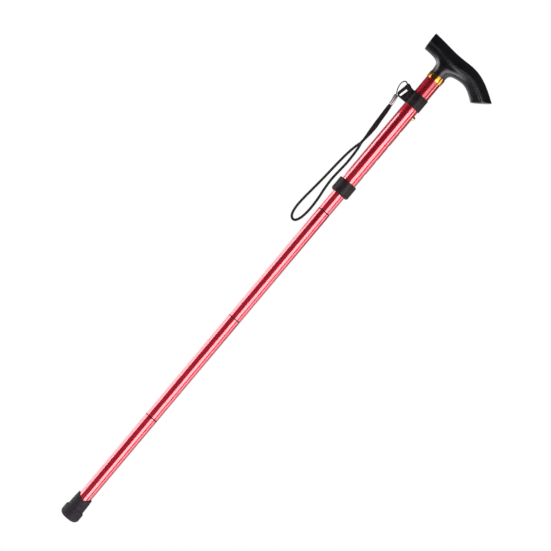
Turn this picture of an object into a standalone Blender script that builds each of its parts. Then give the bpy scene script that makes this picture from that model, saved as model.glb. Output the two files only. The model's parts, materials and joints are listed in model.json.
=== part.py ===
"""Folding walking cane with a derby handle, an adjustable shaft and a wrist strap.

Metres, +Z up. The origin is the centre of the ferrule's ground face, +Z runs up the shaft
and +X points to the tail of the handle. Each moving group hangs from an empty on its joint.
"""

import math

import bmesh
import bpy
import numpy as np
from mathutils import Matrix, Vector

# Fits shared by all the pieces
GAP = 0.0003
FACETS = 32
INNER_FACETS = 24
SMALL_FACETS = 12
CUT_EXTRA = 0.002

# Shaft, from the ground up: three folding seams, the locking collar and the handle's neck
FOOT_SECTION = 0.1750
LOWER_SECTION = 0.1720
MIDDLE_SECTION = 0.1862
SEAM_TO_COLLAR = 0.0300
COLLAR_TO_NECK = 0.2053

# Tubes
TUBE_RADIUS = 0.0095
TUBE_WALL = 0.0012
OUTER_TUBE_WALL = 0.0012
TUBE_EDGE = 0.0002

# Height adjustment
HOLE_COUNT = 5
HOLE_PITCH = 0.025
NECK_TO_TOP_HOLE = 0.0644
BUTTON_RADIUS = 0.0030
BUTTON_PROUD = 0.0029
BUTTON_DOME = 0.0009
SPRING_THICKNESS = 0.0006
SPRING_WIDTH = 0.0060
SPRING_CLEARANCE = 0.0010
SPRING_ABOVE_BUTTON = 0.0070
SPRING_BELOW_BUTTON = 0.0300
INNER_TUBE_OVER_HOLE = 0.0240
CAP_STEM = 0.0100
CAP_FLANGE = 0.0020

# Locking collar and the split bush that it closes on the inner tube
BUSH_WALL = 0.0010
COLLAR_LENGTH = 0.0207
COLLAR_CHAMFER = 0.0020
COLLAR_FLOOR = 0.0019
COLLAR_WALL = 0.0009
BUSH_LIP = 0.0034
BUSH_TOP_DROP = 0.0010

# Folding joints
FOLD_CLEARANCE = 0.00065
PLUG_STEM = 0.0240
PLUG_SHOULDER = 0.0008
SHOULDER_RECESS = 0.0002
NOSE_TIP_RADIUS = 0.0035
NOSE_STEPS = 7
CORD_RADIUS = 0.0020
CORD_BORE = 0.0025

# Cord anchors
ANCHOR_BELOW_HOLE = 0.0520
ANCHOR_LENGTH = 0.0140
STOP_RADIUS = 0.0042
STOP_LENGTH = 0.0060
STOP_EDGE = 0.0010
STOP_POCKET = 0.0070
ANCHOR_PIN_RADIUS = 0.0015
ANCHOR_PIN_INSET = 0.0034

# Rubber ferrule
FERRULE_WALL = 0.00405
FERRULE_FOOT_HEIGHT = 0.0165
FERRULE_NECK_WALL = 0.0020
FERRULE_RIM_WALL = 0.0010
FERRULE_HEIGHT = 0.0388
FERRULE_RIM_DIP = 0.0060
FERRULE_FLOOR = 0.0070
FERRULE_FLAT = 0.0055
FERRULE_CROWN = 0.0068
FERRULE_STEP = 0.0030
TREAD_RADII = (0.0033, 0.0045)
TREAD_DEPTH = 0.0008
WASHER_THICKNESS = 0.0015
CROWN_STEPS = 5

# Gold ring, handle stem and bolt
RING_WALL = 0.0005
RING_HEIGHT = 0.0084
STEM_IN_TUBE = 0.0330
STEM_SPIGOT_RADIUS = 0.0060
STEM_SPIGOT = 0.0230
BOLT_RADIUS = 0.0025
BOLT_HEAD_RADIUS = 0.0042
BOLT_HEAD = 0.0050
BOLT_POCKET = 0.0080
BOLT_ABOVE_SPIGOT = 0.0065

# Strap band and its lug
NECK_TO_BAND = 0.0344
BAND_HEIGHT = 0.0200
BAND_WALL = 0.0010
LUG_THICKNESS = 0.0050
LUG_EDGE = 0.0006
SLOT_WIDTH = 0.0030
SLOT_TOP = (-0.0064, -0.0058)
SLOT_BOTTOM = (-0.0084, -0.0162)

# Wrist strap
STRING_RADIUS = 0.0006
STRAP_CORD_RADIUS = 0.0016

# Levels and radii that follow from the values above
SEAM_LEVELS = (
    FOOT_SECTION + LOWER_SECTION + MIDDLE_SECTION,
    FOOT_SECTION + LOWER_SECTION,
    FOOT_SECTION,
)
COLLAR_LEVEL = SEAM_LEVELS[0] + SEAM_TO_COLLAR
NECK_LEVEL = COLLAR_LEVEL + COLLAR_TO_NECK
TUBE_BORE = TUBE_RADIUS - TUBE_WALL
OUTER_BORE = TUBE_RADIUS + GAP
OUTER_TUBE_RADIUS = OUTER_BORE + OUTER_TUBE_WALL
TOP_HOLE_LEVEL = NECK_LEVEL - NECK_TO_TOP_HOLE
INNER_TUBE_TOP = TOP_HOLE_LEVEL + INNER_TUBE_OVER_HOLE
BAND_LEVEL = NECK_LEVEL - NECK_TO_BAND - BAND_HEIGHT
BAND_RADIUS = OUTER_TUBE_RADIUS + GAP + BAND_WALL
LUG_ROOT = BAND_WALL + GAP
COLLAR_RADIUS = OUTER_TUBE_RADIUS + GAP + BUSH_WALL + GAP + COLLAR_WALL
BUSH_LEVEL = COLLAR_LEVEL + COLLAR_FLOOR + GAP
OUTER_TUBE_BOTTOM = BUSH_LEVEL + BUSH_LIP + GAP
FERRULE_BORE = TUBE_RADIUS + GAP
FERRULE_RADIUS = FERRULE_BORE + FERRULE_WALL
SPRING_REACH = TUBE_BORE - SPRING_CLEARANCE
FOLD_RADIUS = (FERRULE_RADIUS + COLLAR_RADIUS + FOLD_CLEARANCE) / 2
SEAM_HALF = PLUG_SHOULDER / 2 + GAP
WASHER_LEVEL = FERRULE_FLOOR + GAP
FOOT_TUBE_BOTTOM = WASHER_LEVEL + WASHER_THICKNESS + GAP
HOLE_RADIUS = BUTTON_RADIUS + GAP

# Handle outline over the neck, from the beak to the tail: the top point's x and z, the
# bottom point's x and z, and half the width there
HANDLE_STATIONS = (
    (-0.0366, 0.0422, -0.0352, 0.0180, 0.0098),
    (-0.0205, 0.0411, -0.0192, 0.0163, 0.0116),
    (-0.0095, 0.0398, -0.0122, 0.0125, 0.0123),
    (0.0030, 0.0387, 0.0010, 0.0100, 0.0127),
    (0.0160, 0.0389, 0.0146, 0.0108, 0.0130),
    (0.0290, 0.0395, 0.0255, 0.0136, 0.0131),
    (0.0425, 0.0378, 0.0365, 0.0126, 0.0130),
    (0.0605, 0.0302, 0.0475, 0.0077, 0.0124),
    (0.0772, 0.0190, 0.0562, 0.0032, 0.0112),
)
NECK_STATIONS = (2, 3, 4)
# Half of a handle section: the share of the half width, and of the height over the bottom
SECTION_SHARES = ((0.0, 1.0), (0.70, 0.90), (1.0, 0.55), (0.74, 0.13), (0.0, 0.0))
# Heights on the handle's neck, and how far it stands proud of the outer tube there
NECK_FLARE = ((0.0072, 0.0006), (0.0032, 0.0001), (0.0, 0.0))
END_CREASE = 0.75
HANDLE_SMOOTHING = 2

# The lug and the strap are placed from the band's -X side at its top edge. The lug's outline
# in x and z, anticlockwise seen from the front
LUG_OUTLINE = (
    (LUG_ROOT, -0.0002),
    (-0.0045, 0.0004),
    (-0.0067, 0.0016),
    (-0.0103, 0.0027),
    (-0.0122, 0.0008),
    (-0.0127, -0.0040),
    (-0.0149, -0.0152),
    (-0.0143, -0.0176),
    (-0.0099, -0.0199),
    (LUG_ROOT, -0.0199),
)

# Half of the lanyard string, from the crimp to the slot: x, y and z
STRING_HALF_ROUTE = (
    (-0.0138, -0.0009, -0.0201),
    (-0.0167, -0.0009, -0.0150),
    (-0.0188, -0.0009, -0.0085),
    (-0.0188, -0.0011, -0.0022),
    (-0.0160, -0.0023, 0.0018),
    (-0.0123, -0.0035, 0.0009),
    (-0.0091, -0.0036, -0.0026),
    (-0.0075, -0.0035, -0.0046),
    (-0.0067, -0.0022, -0.0055),
    (-0.0067, 0.0, -0.0055),
)

# Crimp's ends, x and z, and the webbing's sections: the drop below
# the crimp, x, and the half width along x and along y. The first one faces the crimp.
CRIMP_TOP = (-0.0137, -0.0206)
CRIMP_END = (-0.0109, -0.0354)
CRIMP_HALF_WIDTH = 0.0030
CRIMP_HALF_DEPTH = 0.0021
CRIMP_ROUNDING = 0.0004
WEBBING_SECTIONS = (
    (0, 0, 0.0026, 0.0013),
    (0.0053, -0.0103, 0.0030, 0.0012),
    (0.0113, -0.0098, 0.0032, 0.0011),
    (0.0243, -0.0090, 0.0033, 0.0011),
    (0.0353, -0.0082, 0.0035, 0.0012),
    (0.0463, -0.0079, 0.0029, 0.0018),
    (0.0533, -0.0078, 0.0022, 0.0025),
    (0.0593, -0.0080, 0.0018, 0.0031),
    (0.0643, -0.0082, 0.0019, 0.0034),
)

# Wrist loop, x, y and z
LOOP_ROUTE = (
    (-0.0086, -0.0018, -0.1008),
    (-0.0105, -0.0018, -0.1072),
    (-0.0126, -0.0015, -0.1185),
    (-0.0142, -0.0009, -0.1340),
    (-0.0153, -0.0003, -0.1500),
    (-0.0165, 0.0, -0.1690),
    (-0.0181, 0.0, -0.1880),
    (-0.0196, 0.0, -0.2060),
    (-0.0198, 0.0, -0.2200),
    (-0.0178, 0.0, -0.2305),
    (-0.0135, 0.0, -0.2350),
    (-0.0087, 0.0, -0.2335),
    (-0.0052, 0.0, -0.2250),
    (-0.0037, 0.0, -0.2110),
    (-0.0043, 0.0, -0.1935),
    (-0.0061, 0.0, -0.1780),
    (-0.0071, 0.0002, -0.1620),
    (-0.0064, 0.0007, -0.1470),
    (-0.0055, 0.0011, -0.1320),
    (-0.0058, 0.0015, -0.1180),
    (-0.0065, 0.0018, -0.1075),
    (-0.0077, 0.0018, -0.1007),
)

FINISHES = {
    "handle_plastic": ((0.012, 0.011, 0.013), 0.32, 0.0),
    "moulded_plastic": ((0.020, 0.019, 0.021), 0.48, 0.0),
    "joint_plastic": ((0.035, 0.034, 0.036), 0.50, 0.0),
    "red_anodised": ((0.55, 0.020, 0.035), 0.24, 0.9),
    "gold": ((0.80, 0.56, 0.16), 0.22, 1.0),
    "steel": ((0.62, 0.62, 0.64), 0.28, 1.0),
    "rubber": ((0.022, 0.020, 0.023), 0.75, 0.0),
    "black_cord": ((0.016, 0.015, 0.016), 0.85, 0.0),
    "webbing": ((0.020, 0.017, 0.019), 0.9, 0.0),
    "crimp": ((0.56, 0.53, 0.56), 0.38, 0.6),
}


def clear_scene():
    for obj in list(bpy.data.objects):
        bpy.data.objects.remove(obj, do_unlink=True)


def make_finish(name):
    colour, roughness, metallic = FINISHES[name]
    material = bpy.data.materials.new(name)
    material.use_nodes = True
    shader = material.node_tree.nodes["Principled BSDF"]
    shader.inputs["Base Color"].default_value = (*colour, 1.0)
    shader.inputs["Roughness"].default_value = roughness
    shader.inputs["Metallic"].default_value = metallic
    return material


def finish(name):
    return bpy.data.materials.get(name) or make_finish(name)


def joint_empty(name, parent, at):
    """An empty on a joint's axis. at is in world metres."""
    empty = bpy.data.objects.new(name, None)
    empty.empty_display_size = 0.01
    bpy.context.scene.collection.objects.link(empty)
    hang(empty, parent, at)
    return empty


def hang(obj, parent, at):
    """Puts obj at the world point at, as a child of parent. Parents only shift, never turn."""
    obj.parent = parent
    obj.location = Vector(at) - (world_of(parent) if parent else Vector())


def world_of(obj):
    here = obj.location.copy()
    while obj.parent:
        obj = obj.parent
        here += obj.location
    return here


def add_piece(name, mesh, slot, parent, at=(0, 0, 0), sharp_angle=35):
    mesh.name = name
    mesh.materials.append(finish(slot))
    mesh.shade_smooth()
    mesh.set_sharp_from_angle(angle=math.radians(sharp_angle))
    piece = bpy.data.objects.new(name, mesh)
    bpy.context.scene.collection.objects.link(piece)
    hang(piece, parent, at)
    return piece


def add_cutter(name, mesh, target, at=(0, 0, 0), turn=None, operation="DIFFERENCE"):
    """A hidden solid, placed from the target's own origin, and the Boolean that uses it."""
    if turn:
        mesh.transform(turn)
    cutter = bpy.data.objects.new(name, mesh)
    cutter.hide_render = True
    cutter.display_type = "WIRE"
    bpy.context.scene.collection.objects.link(cutter)
    cutter.parent = target
    cutter.location = at
    modifier = target.modifiers.new(name, "BOOLEAN")
    modifier.object = cutter
    modifier.operation = operation
    return cutter


def mesh_from(bm):
    bmesh.ops.recalc_face_normals(bm, faces=bm.faces)
    mesh = bpy.data.meshes.new("mesh")
    bm.to_mesh(mesh)
    bm.free()
    return mesh


def turned(profile, facets=FACETS):
    """A solid turned about Z from (radius, z) points. A profile off the axis closes itself."""
    bm = bmesh.new()
    line = [bm.verts.new((radius, 0, z)) for radius, z in profile]
    edges = [bm.edges.new(pair) for pair in zip(line, line[1:])]
    if profile[0][0] > 0:
        edges.append(bm.edges.new((line[-1], line[0])))
    bmesh.ops.spin(
        bm,
        geom=line + edges,
        axis=(0, 0, 1),
        cent=(0, 0, 0),
        steps=facets,
        angle=math.tau,
        use_merge=True,
    )
    bmesh.ops.remove_doubles(bm, verts=bm.verts, dist=1e-6)
    return mesh_from(bm)


def sleeve(outer, inner, length, edge, facets=FACETS):
    """A tube from z = 0 up, with both outer edges broken by edge."""
    return turned(
        [
            (outer - edge, length),
            (outer, length - edge),
            (outer, edge),
            (outer - edge, 0),
            (inner, 0),
            (inner, length),
        ],
        facets,
    )


def rod(radius, length, edge=0.0, facets=FACETS):
    """A plain round bar from z = 0 up, with both edges broken by edge."""
    if not edge:
        return turned([(0, length), (radius, length), (radius, 0), (0, 0)], facets)
    return turned(
        [
            (0, length),
            (radius - edge, length),
            (radius, length - edge),
            (radius, edge),
            (radius - edge, 0),
            (0, 0),
        ],
        facets,
    )


def prism(outline, thickness):
    """An outline in x and z, extruded to half the thickness each side of y = 0."""
    bm = bmesh.new()
    front = bm.faces.new([bm.verts.new((x, -thickness / 2, z)) for x, z in outline])
    grown = bmesh.ops.extrude_face_region(bm, geom=[front])
    back = [item for item in grown["geom"] if isinstance(item, bmesh.types.BMVert)]
    bmesh.ops.translate(bm, vec=(0, thickness, 0), verts=back)
    return mesh_from(bm)


def lofted(rings):
    """A closed solid through rings of the same number of points."""
    bm = bmesh.new()
    rows = [[bm.verts.new(point) for point in ring] for ring in rings]
    count = len(rows[0])
    for low, high in zip(rows, rows[1:]):
        for k in range(count):
            bm.faces.new((low[k], low[(k + 1) % count], high[(k + 1) % count], high[k]))
    bm.faces.new(rows[0])
    bm.faces.new(rows[-1])
    return mesh_from(bm)


def oval(centre, across, half_width, half_depth, count=16, power=2.6):
    """A rounded flat section: across is the unit direction of its width, y of its depth."""
    points = []
    for k in range(count):
        angle = math.tau * k / count
        c, s = math.cos(angle), math.sin(angle)
        wide = half_width * math.copysign(abs(c) ** (2 / power), c)
        deep = half_depth * math.copysign(abs(s) ** (2 / power), s)
        points.append(Vector(centre) + wide * Vector(across) + Vector((0, deep, 0)))
    return points


def along_x():
    """Turns a piece made up Z so that it points along +X."""
    return Matrix.Rotation(math.radians(90), 4, "Y")


def smooth_route(route):
    """The route's points and the middles between them, on one Catmull-Rom curve."""
    knots = [Vector(point) for point in route]
    padded = [2 * knots[0] - knots[1], *knots, 2 * knots[-1] - knots[-2]]
    points = []
    for before, start, end, after in zip(padded, padded[1:], padded[2:], padded[3:]):
        points += [start, (9 * (start + end) - before - after) / 16]
    return points + [knots[-1]]


def add_cord(name, points, radius, slot, parent, at=(0, 0, 0)):
    curve = bpy.data.curves.new(name, "CURVE")
    curve.dimensions = "3D"
    curve.bevel_depth = radius
    curve.bevel_resolution = 2
    curve.use_fill_caps = True
    spline = curve.splines.new("POLY")
    spline.points.add(len(points) - 1)
    for spot, point in zip(spline.points, points):
        spot.co = (*point, 1.0)
    curve.materials.append(finish(slot))
    piece = bpy.data.objects.new(name, curve)
    bpy.context.scene.collection.objects.link(piece)
    hang(piece, parent, at)
    return piece


# Handle end


def interpolating_ring(targets):
    """The cage points whose smoothed ring passes through the targets."""
    count = len(targets)
    weights = np.zeros((count, count))
    for k in range(count):
        weights[k, k] = 4 / 6
        weights[k, (k + 1) % count] = 1 / 6
        weights[k, (k - 1) % count] = 1 / 6
    return np.linalg.solve(weights, np.array(targets))


def handle_ring(station):
    """One handle section as eight cage points: top, down the -Y side, bottom, up again."""
    top_x, top_z, low_x, low_z, half = HANDLE_STATIONS[station]
    top, low = np.array((top_x, 0, top_z)), np.array((low_x, 0, low_z))
    side = [low + (top - low) * v + np.array((0, -half * u, 0)) for u, v in SECTION_SHARES]
    mirrored = [point * (1, -1, 1) for point in side[-2:0:-1]]
    return interpolating_ring(side + mirrored)


def neck_ring(level, radius):
    """Eight cage points round the neck, starting at -X and going by -Y."""
    spots = []
    for k in range(8):
        angle = math.pi + k * math.tau / 8
        spots.append((radius * math.cos(angle), radius * math.sin(angle), level))
    return interpolating_ring(spots)


def handle_mesh():
    """The grip's cage: a bar of sections with the neck drawn out of its underside."""
    bm = bmesh.new()
    bar = [[bm.verts.new(p) for p in handle_ring(k)] for k in range(len(HANDLE_STATIONS))]
    first, middle, last = NECK_STATIONS
    underside = (3, 4)
    for station, (left, right) in enumerate(zip(bar, bar[1:])):
        for k in range(8):
            if first <= station < last and k in underside:
                continue
            bm.faces.new((left[k], left[(k + 1) % 8], right[(k + 1) % 8], right[k]))
    beak, tail = bm.faces.new(bar[0]), bm.faces.new(bar[-1])
    upper = [bar[first][4], bar[first][3], bar[middle][3], bar[last][3]]
    upper += [bar[last][4], bar[last][5], bar[middle][5], bar[first][5]]
    for level, proud in NECK_FLARE:
        lower = [bm.verts.new(p) for p in neck_ring(level, OUTER_TUBE_RADIUS + proud)]
        for k in range(8):
            bm.faces.new((upper[k], upper[(k + 1) % 8], lower[(k + 1) % 8], lower[k]))
        upper = lower
    foot = bm.faces.new(upper)
    bmesh.ops.delete(bm, geom=[bar[middle][4]], context="VERTS")
    crease = bm.edges.layers.float.new("crease_edge")
    for face, amount in ((beak, END_CREASE), (tail, END_CREASE), (foot, 1.0)):
        for edge in face.edges:
            edge[crease] = amount
    return mesh_from(bm)


def build_handle(parent):
    at = (0, 0, NECK_LEVEL + GAP)
    grip = add_piece("handle_grip", handle_mesh(), "handle_plastic", parent, at, 75)
    smoothing = grip.modifiers.new("smoothing", "SUBSURF")
    smoothing.levels = HANDLE_SMOOTHING
    smoothing.render_levels = HANDLE_SMOOTHING
    spigot_hole = STEM_SPIGOT + CUT_EXTRA
    add_cutter(
        "grip_socket",
        rod(STEM_SPIGOT_RADIUS + GAP, spigot_hole, facets=INNER_FACETS),
        grip,
        (0, 0, -CUT_EXTRA),
    )
    pilot = rod(BOLT_RADIUS + GAP, BOLT_ABOVE_SPIGOT + 2 * CUT_EXTRA, facets=SMALL_FACETS)
    add_cutter("grip_pilot", pilot, grip, (0, 0, STEM_SPIGOT - CUT_EXTRA))

    bolt_hole = BOLT_RADIUS + GAP
    pocket = BOLT_HEAD_RADIUS + GAP
    barrel = OUTER_BORE - GAP
    stem = turned(
        [
            (STEM_SPIGOT_RADIUS, STEM_SPIGOT),
            (STEM_SPIGOT_RADIUS, 0),
            (barrel, 0),
            (barrel, -STEM_IN_TUBE),
            (pocket, -STEM_IN_TUBE),
            (pocket, -STEM_IN_TUBE + BOLT_POCKET),
            (bolt_hole, -STEM_IN_TUBE + BOLT_POCKET),
            (bolt_hole, STEM_SPIGOT),
        ],
        INNER_FACETS,
    )
    add_piece("handle_stem", stem, "joint_plastic", parent, (0, 0, NECK_LEVEL))

    under_head = -STEM_IN_TUBE + BOLT_POCKET - GAP
    bolt = turned(
        [
            (0, STEM_SPIGOT + BOLT_ABOVE_SPIGOT),
            (BOLT_RADIUS, STEM_SPIGOT + BOLT_ABOVE_SPIGOT),
            (BOLT_RADIUS, under_head),
            (BOLT_HEAD_RADIUS, under_head),
            (BOLT_HEAD_RADIUS, under_head - BOLT_HEAD),
            (0, under_head - BOLT_HEAD),
        ],
        SMALL_FACETS,
    )
    add_piece("handle_bolt", bolt, "steel", parent, (0, 0, NECK_LEVEL))

    ring_inner = OUTER_TUBE_RADIUS + GAP
    ring = sleeve(ring_inner + RING_WALL, ring_inner, RING_HEIGHT, TUBE_EDGE)
    add_piece("gold_ring", ring, "gold", parent, (0, 0, NECK_LEVEL - RING_HEIGHT))


def build_outer_tube(parent):
    length = NECK_LEVEL - OUTER_TUBE_BOTTOM
    tube = sleeve(OUTER_TUBE_RADIUS, OUTER_BORE, length, TUBE_EDGE)
    outer = add_piece("outer_tube", tube, "red_anodised", parent, (0, 0, OUTER_TUBE_BOTTOM))
    reach = OUTER_TUBE_WALL + 2 * CUT_EXTRA
    for k in range(HOLE_COUNT):
        level = TOP_HOLE_LEVEL - k * HOLE_PITCH - OUTER_TUBE_BOTTOM
        add_cutter(
            f"height_hole_{k + 1}",
            rod(HOLE_RADIUS, reach, facets=INNER_FACETS),
            outer,
            (OUTER_BORE - CUT_EXTRA, 0, level),
            along_x(),
        )


def build_strap_band(parent):
    """The moulded ring and its lug, as one piece. Its own origin is at its top edge."""
    at = (0, 0, BAND_LEVEL + BAND_HEIGHT)
    blank = rod(BAND_RADIUS, BAND_HEIGHT, LUG_EDGE)
    blank.transform(Matrix.Translation((0, 0, -BAND_HEIGHT)))
    band = add_piece("strap_band", blank, "moulded_plastic", parent, at)
    lug = prism(LUG_OUTLINE, LUG_THICKNESS)
    side = (-BAND_RADIUS, 0, 0)
    add_cutter("lug", lug, band, side, operation="UNION")
    bore = rod(OUTER_TUBE_RADIUS + GAP, BAND_HEIGHT + 2 * CUT_EXTRA)
    add_cutter("band_bore", bore, band, (0, 0, -BAND_HEIGHT - CUT_EXTRA))
    (top_x, top_z), (low_x, low_z) = SLOT_TOP, SLOT_BOTTOM
    lean = math.atan2(top_x - low_x, top_z - low_z)
    half = SLOT_WIDTH / 2
    outline = []
    for x, z, start in ((top_x, top_z, 0), (low_x, low_z, math.pi)):
        for step in range(7):
            angle = start - lean + math.pi * step / 6
            outline.append((x + half * math.cos(angle), z + half * math.sin(angle)))
    add_cutter("lug_slot", prism(outline, LUG_THICKNESS + 2 * CUT_EXTRA), band, side)


# Height adjustment


def build_locking_collar(upper, turning):
    """The split bush on the outer tube's end, and the collar that closes it."""
    bush_top = COLLAR_LEVEL + COLLAR_LENGTH - BUSH_TOP_DROP - BUSH_LEVEL
    thread = COLLAR_RADIUS - COLLAR_WALL - GAP
    seat = OUTER_TUBE_RADIUS + GAP
    bush = turned(
        [
            (thread, bush_top),
            (thread, BUSH_LIP),
            (thread - BUSH_LIP / 3, 0),
            (OUTER_BORE, 0),
            (OUTER_BORE, BUSH_LIP),
            (seat, BUSH_LIP),
            (seat, bush_top),
        ]
    )
    add_piece("split_bush", bush, "joint_plastic", upper, (0, 0, BUSH_LEVEL))

    bore = COLLAR_RADIUS - COLLAR_WALL
    collar = turned(
        [
            (COLLAR_RADIUS - COLLAR_WALL / 2, COLLAR_LENGTH),
            (COLLAR_RADIUS, COLLAR_LENGTH - COLLAR_WALL),
            (COLLAR_RADIUS, COLLAR_CHAMFER),
            (COLLAR_RADIUS - COLLAR_CHAMFER, 0),
            (OUTER_BORE, 0),
            (OUTER_BORE, COLLAR_FLOOR),
            (bore, COLLAR_FLOOR),
            (bore, COLLAR_LENGTH),
        ]
    )
    add_piece("locking_collar", collar, "moulded_plastic", turning, (0, 0, COLLAR_LEVEL))


def strip_outline(path, thickness):
    """Both sides of a bent strip whose outer face follows the path."""
    path = [np.array(point) for point in path]
    inner = []
    for k, point in enumerate(path):
        ahead = path[min(k + 1, len(path) - 1)]
        behind = path[max(k - 1, 0)]
        run = (ahead - behind) / np.linalg.norm(ahead - behind)
        inner.append(point + thickness * np.array((-run[1], run[0])))
    return [tuple(p) for p in path] + [tuple(p) for p in reversed(inner)]


def build_snap_button(parent):
    """A V spring bent from strip, with its round button. Its origin is on the button."""
    path = [(SPRING_REACH, SPRING_ABOVE_BUTTON)]
    bend_centre = -SPRING_BELOW_BUTTON + SPRING_REACH / 2
    bend_radius = SPRING_REACH / 2
    path.append((SPRING_REACH, -SPRING_ABOVE_BUTTON))
    for step in range(9):
        angle = -math.pi * step / 8
        x = bend_radius * math.cos(angle)
        path.append((x, bend_centre + bend_radius * math.sin(angle)))
    path.append((-SPRING_REACH, SPRING_ABOVE_BUTTON / 2))
    path.reverse()
    strip = prism(strip_outline(path, SPRING_THICKNESS), SPRING_WIDTH)
    at = (0, 0, TOP_HOLE_LEVEL)
    button = add_piece("snap_button", strip, "steel", parent, at)
    root = SPRING_REACH - SPRING_THICKNESS / 2
    tip = OUTER_TUBE_RADIUS + BUTTON_PROUD - root
    head = turned(
        [
            (0, tip),
            (BUTTON_RADIUS - 2 * BUTTON_DOME, tip - BUTTON_DOME / 4),
            (BUTTON_RADIUS, tip - BUTTON_DOME),
            (BUTTON_RADIUS, 0),
            (0, 0),
        ],
        INNER_FACETS,
    )
    add_cutter("button_head", head, button, (root, 0, 0), along_x(), "UNION")


def build_inner_tube(parent):
    bottom = SEAM_LEVELS[0] + SEAM_HALF
    length = INNER_TUBE_TOP - bottom
    tube = sleeve(TUBE_RADIUS, TUBE_BORE, length, TUBE_EDGE)
    inner = add_piece("inner_tube", tube, "red_anodised", parent, (0, 0, bottom))
    reach = TUBE_WALL + 2 * CUT_EXTRA
    add_cutter(
        "button_hole",
        rod(HOLE_RADIUS, reach, facets=INNER_FACETS),
        inner,
        (TUBE_BORE - CUT_EXTRA, 0, TOP_HOLE_LEVEL - bottom),
        along_x(),
    )
    stem = TUBE_BORE - GAP
    cap = turned(
        [
            (0, GAP + CAP_FLANGE),
            (TUBE_RADIUS - TUBE_EDGE, GAP + CAP_FLANGE),
            (TUBE_RADIUS, GAP + CAP_FLANGE - TUBE_EDGE),
            (TUBE_RADIUS, GAP),
            (stem, GAP),
            (stem, -CAP_STEM),
            (0, -CAP_STEM),
        ],
        INNER_FACETS,
    )
    add_piece("inner_tube_cap", cap, "joint_plastic", parent, (0, 0, INNER_TUBE_TOP))
    return inner, bottom


# Folding joints and the elastic cord


def nose_profile():
    """(radius, depth) of the nose, from its base to its tip.

    The section below swings about an axis FOLD_RADIUS from the shaft at the level of the
    seam, so the rim of its bore sweeps an arc, and the nose fills that arc.
    """
    arm = FOLD_RADIUS + TUBE_BORE - GAP

    def radius_at(angle):
        return arm * math.cos(angle) - FOLD_RADIUS

    def depth_at(angle):
        return arm * math.sin(angle)

    low, high = 0.0, math.pi / 2
    for _ in range(40):
        middle = (low + high) / 2
        if radius_at(middle) > NOSE_TIP_RADIUS:
            low = middle
        else:
            high = middle
    angles = [low * (k / NOSE_STEPS) ** 0.8 for k in range(NOSE_STEPS + 1)]
    return [(radius_at(angle), depth_at(angle)) for angle in angles]


NOSE = nose_profile()
NOSE_LENGTH = NOSE[-1][1]


def joint_plug_mesh():
    """Stem, shoulder and nose in one, with the cord's bore. The seam is at z = 0."""
    stem = TUBE_BORE - GAP
    half = PLUG_SHOULDER / 2
    shoulder = TUBE_RADIUS - SHOULDER_RECESS
    profile = [(stem - GAP, SEAM_HALF + PLUG_STEM), (stem, PLUG_STEM), (stem, half)]
    profile += [(shoulder, half), (shoulder, -half), (NOSE[0][0], -half)]
    profile += [(radius, -depth) for radius, depth in NOSE if depth > half + GAP]
    profile += [(CORD_BORE, -NOSE_LENGTH), (CORD_BORE, SEAM_HALF + PLUG_STEM)]
    return turned(profile, INNER_FACETS)


def build_joint(number, above, link_body):
    """Joint plug number k in the tube above the seam, and the stretch of cord inside it."""
    at = (0, 0, SEAM_LEVELS[number - 1])
    add_piece(f"joint_plug_{number}", joint_plug_mesh(), "joint_plastic", above, at)
    link = rod(CORD_RADIUS, NOSE_LENGTH + GAP, facets=SMALL_FACETS)
    link_at = (0, 0, SEAM_LEVELS[number - 1] - NOSE_LENGTH - GAP)
    add_piece(f"elastic_link_{number}", link, "black_cord", link_body, link_at)


def add_elastic(number, parent, low, high):
    cord = rod(CORD_RADIUS, high - low, facets=SMALL_FACETS)
    add_piece(f"elastic_cord_{number}", cord, "black_cord", parent, (0, 0, low))


def build_anchor(name, tube, tube_bottom, parent, level, flip):
    """A cord anchor plug, the pin through the tube's wall into it, and the cord's stop.

    The plug's pocket, which takes the stop, opens upwards, or downwards where flip is set.
    """
    radius = TUBE_BORE - GAP
    pocket = STOP_RADIUS + GAP
    profile = [
        (radius, ANCHOR_LENGTH),
        (radius, 0),
        (CORD_BORE, 0),
        (CORD_BORE, ANCHOR_LENGTH - STOP_POCKET),
        (pocket, ANCHOR_LENGTH - STOP_POCKET),
        (pocket, ANCHOR_LENGTH),
    ]
    stop = sleeve(STOP_RADIUS, CORD_RADIUS + GAP, STOP_LENGTH, STOP_EDGE, SMALL_FACETS)
    stop_level = ANCHOR_LENGTH - STOP_POCKET + GAP
    pin_level = (ANCHOR_LENGTH - STOP_POCKET) / 2
    if flip:
        profile = [(r, ANCHOR_LENGTH - z) for r, z in profile]
        stop_level = ANCHOR_LENGTH - stop_level - STOP_LENGTH
        pin_level = ANCHOR_LENGTH - pin_level
    body = turned(profile, INNER_FACETS)
    plug = add_piece(f"{name}_anchor", body, "joint_plastic", parent, (0, 0, level))
    add_piece(f"{name}_cord_stop", stop, "steel", parent, (0, 0, level + stop_level))

    hole = ANCHOR_PIN_RADIUS + GAP
    reach = TUBE_RADIUS + CUT_EXTRA - ANCHOR_PIN_INSET + GAP
    start = -TUBE_RADIUS - CUT_EXTRA
    for target, bottom in ((plug, level), (tube, tube_bottom)):
        drill = rod(hole, reach, facets=SMALL_FACETS)
        spot = (start, 0, level + pin_level - bottom)
        add_cutter(f"{name}_{target.name}_drill", drill, target, spot, along_x())
    length = TUBE_RADIUS - GAP - ANCHOR_PIN_INSET
    pin = rod(ANCHOR_PIN_RADIUS, length, facets=SMALL_FACETS)
    pin.transform(along_x())
    pin_at = (-TUBE_RADIUS + GAP, 0, level + pin_level)
    add_piece(f"{name}_anchor_pin", pin, "steel", parent, pin_at)


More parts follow.
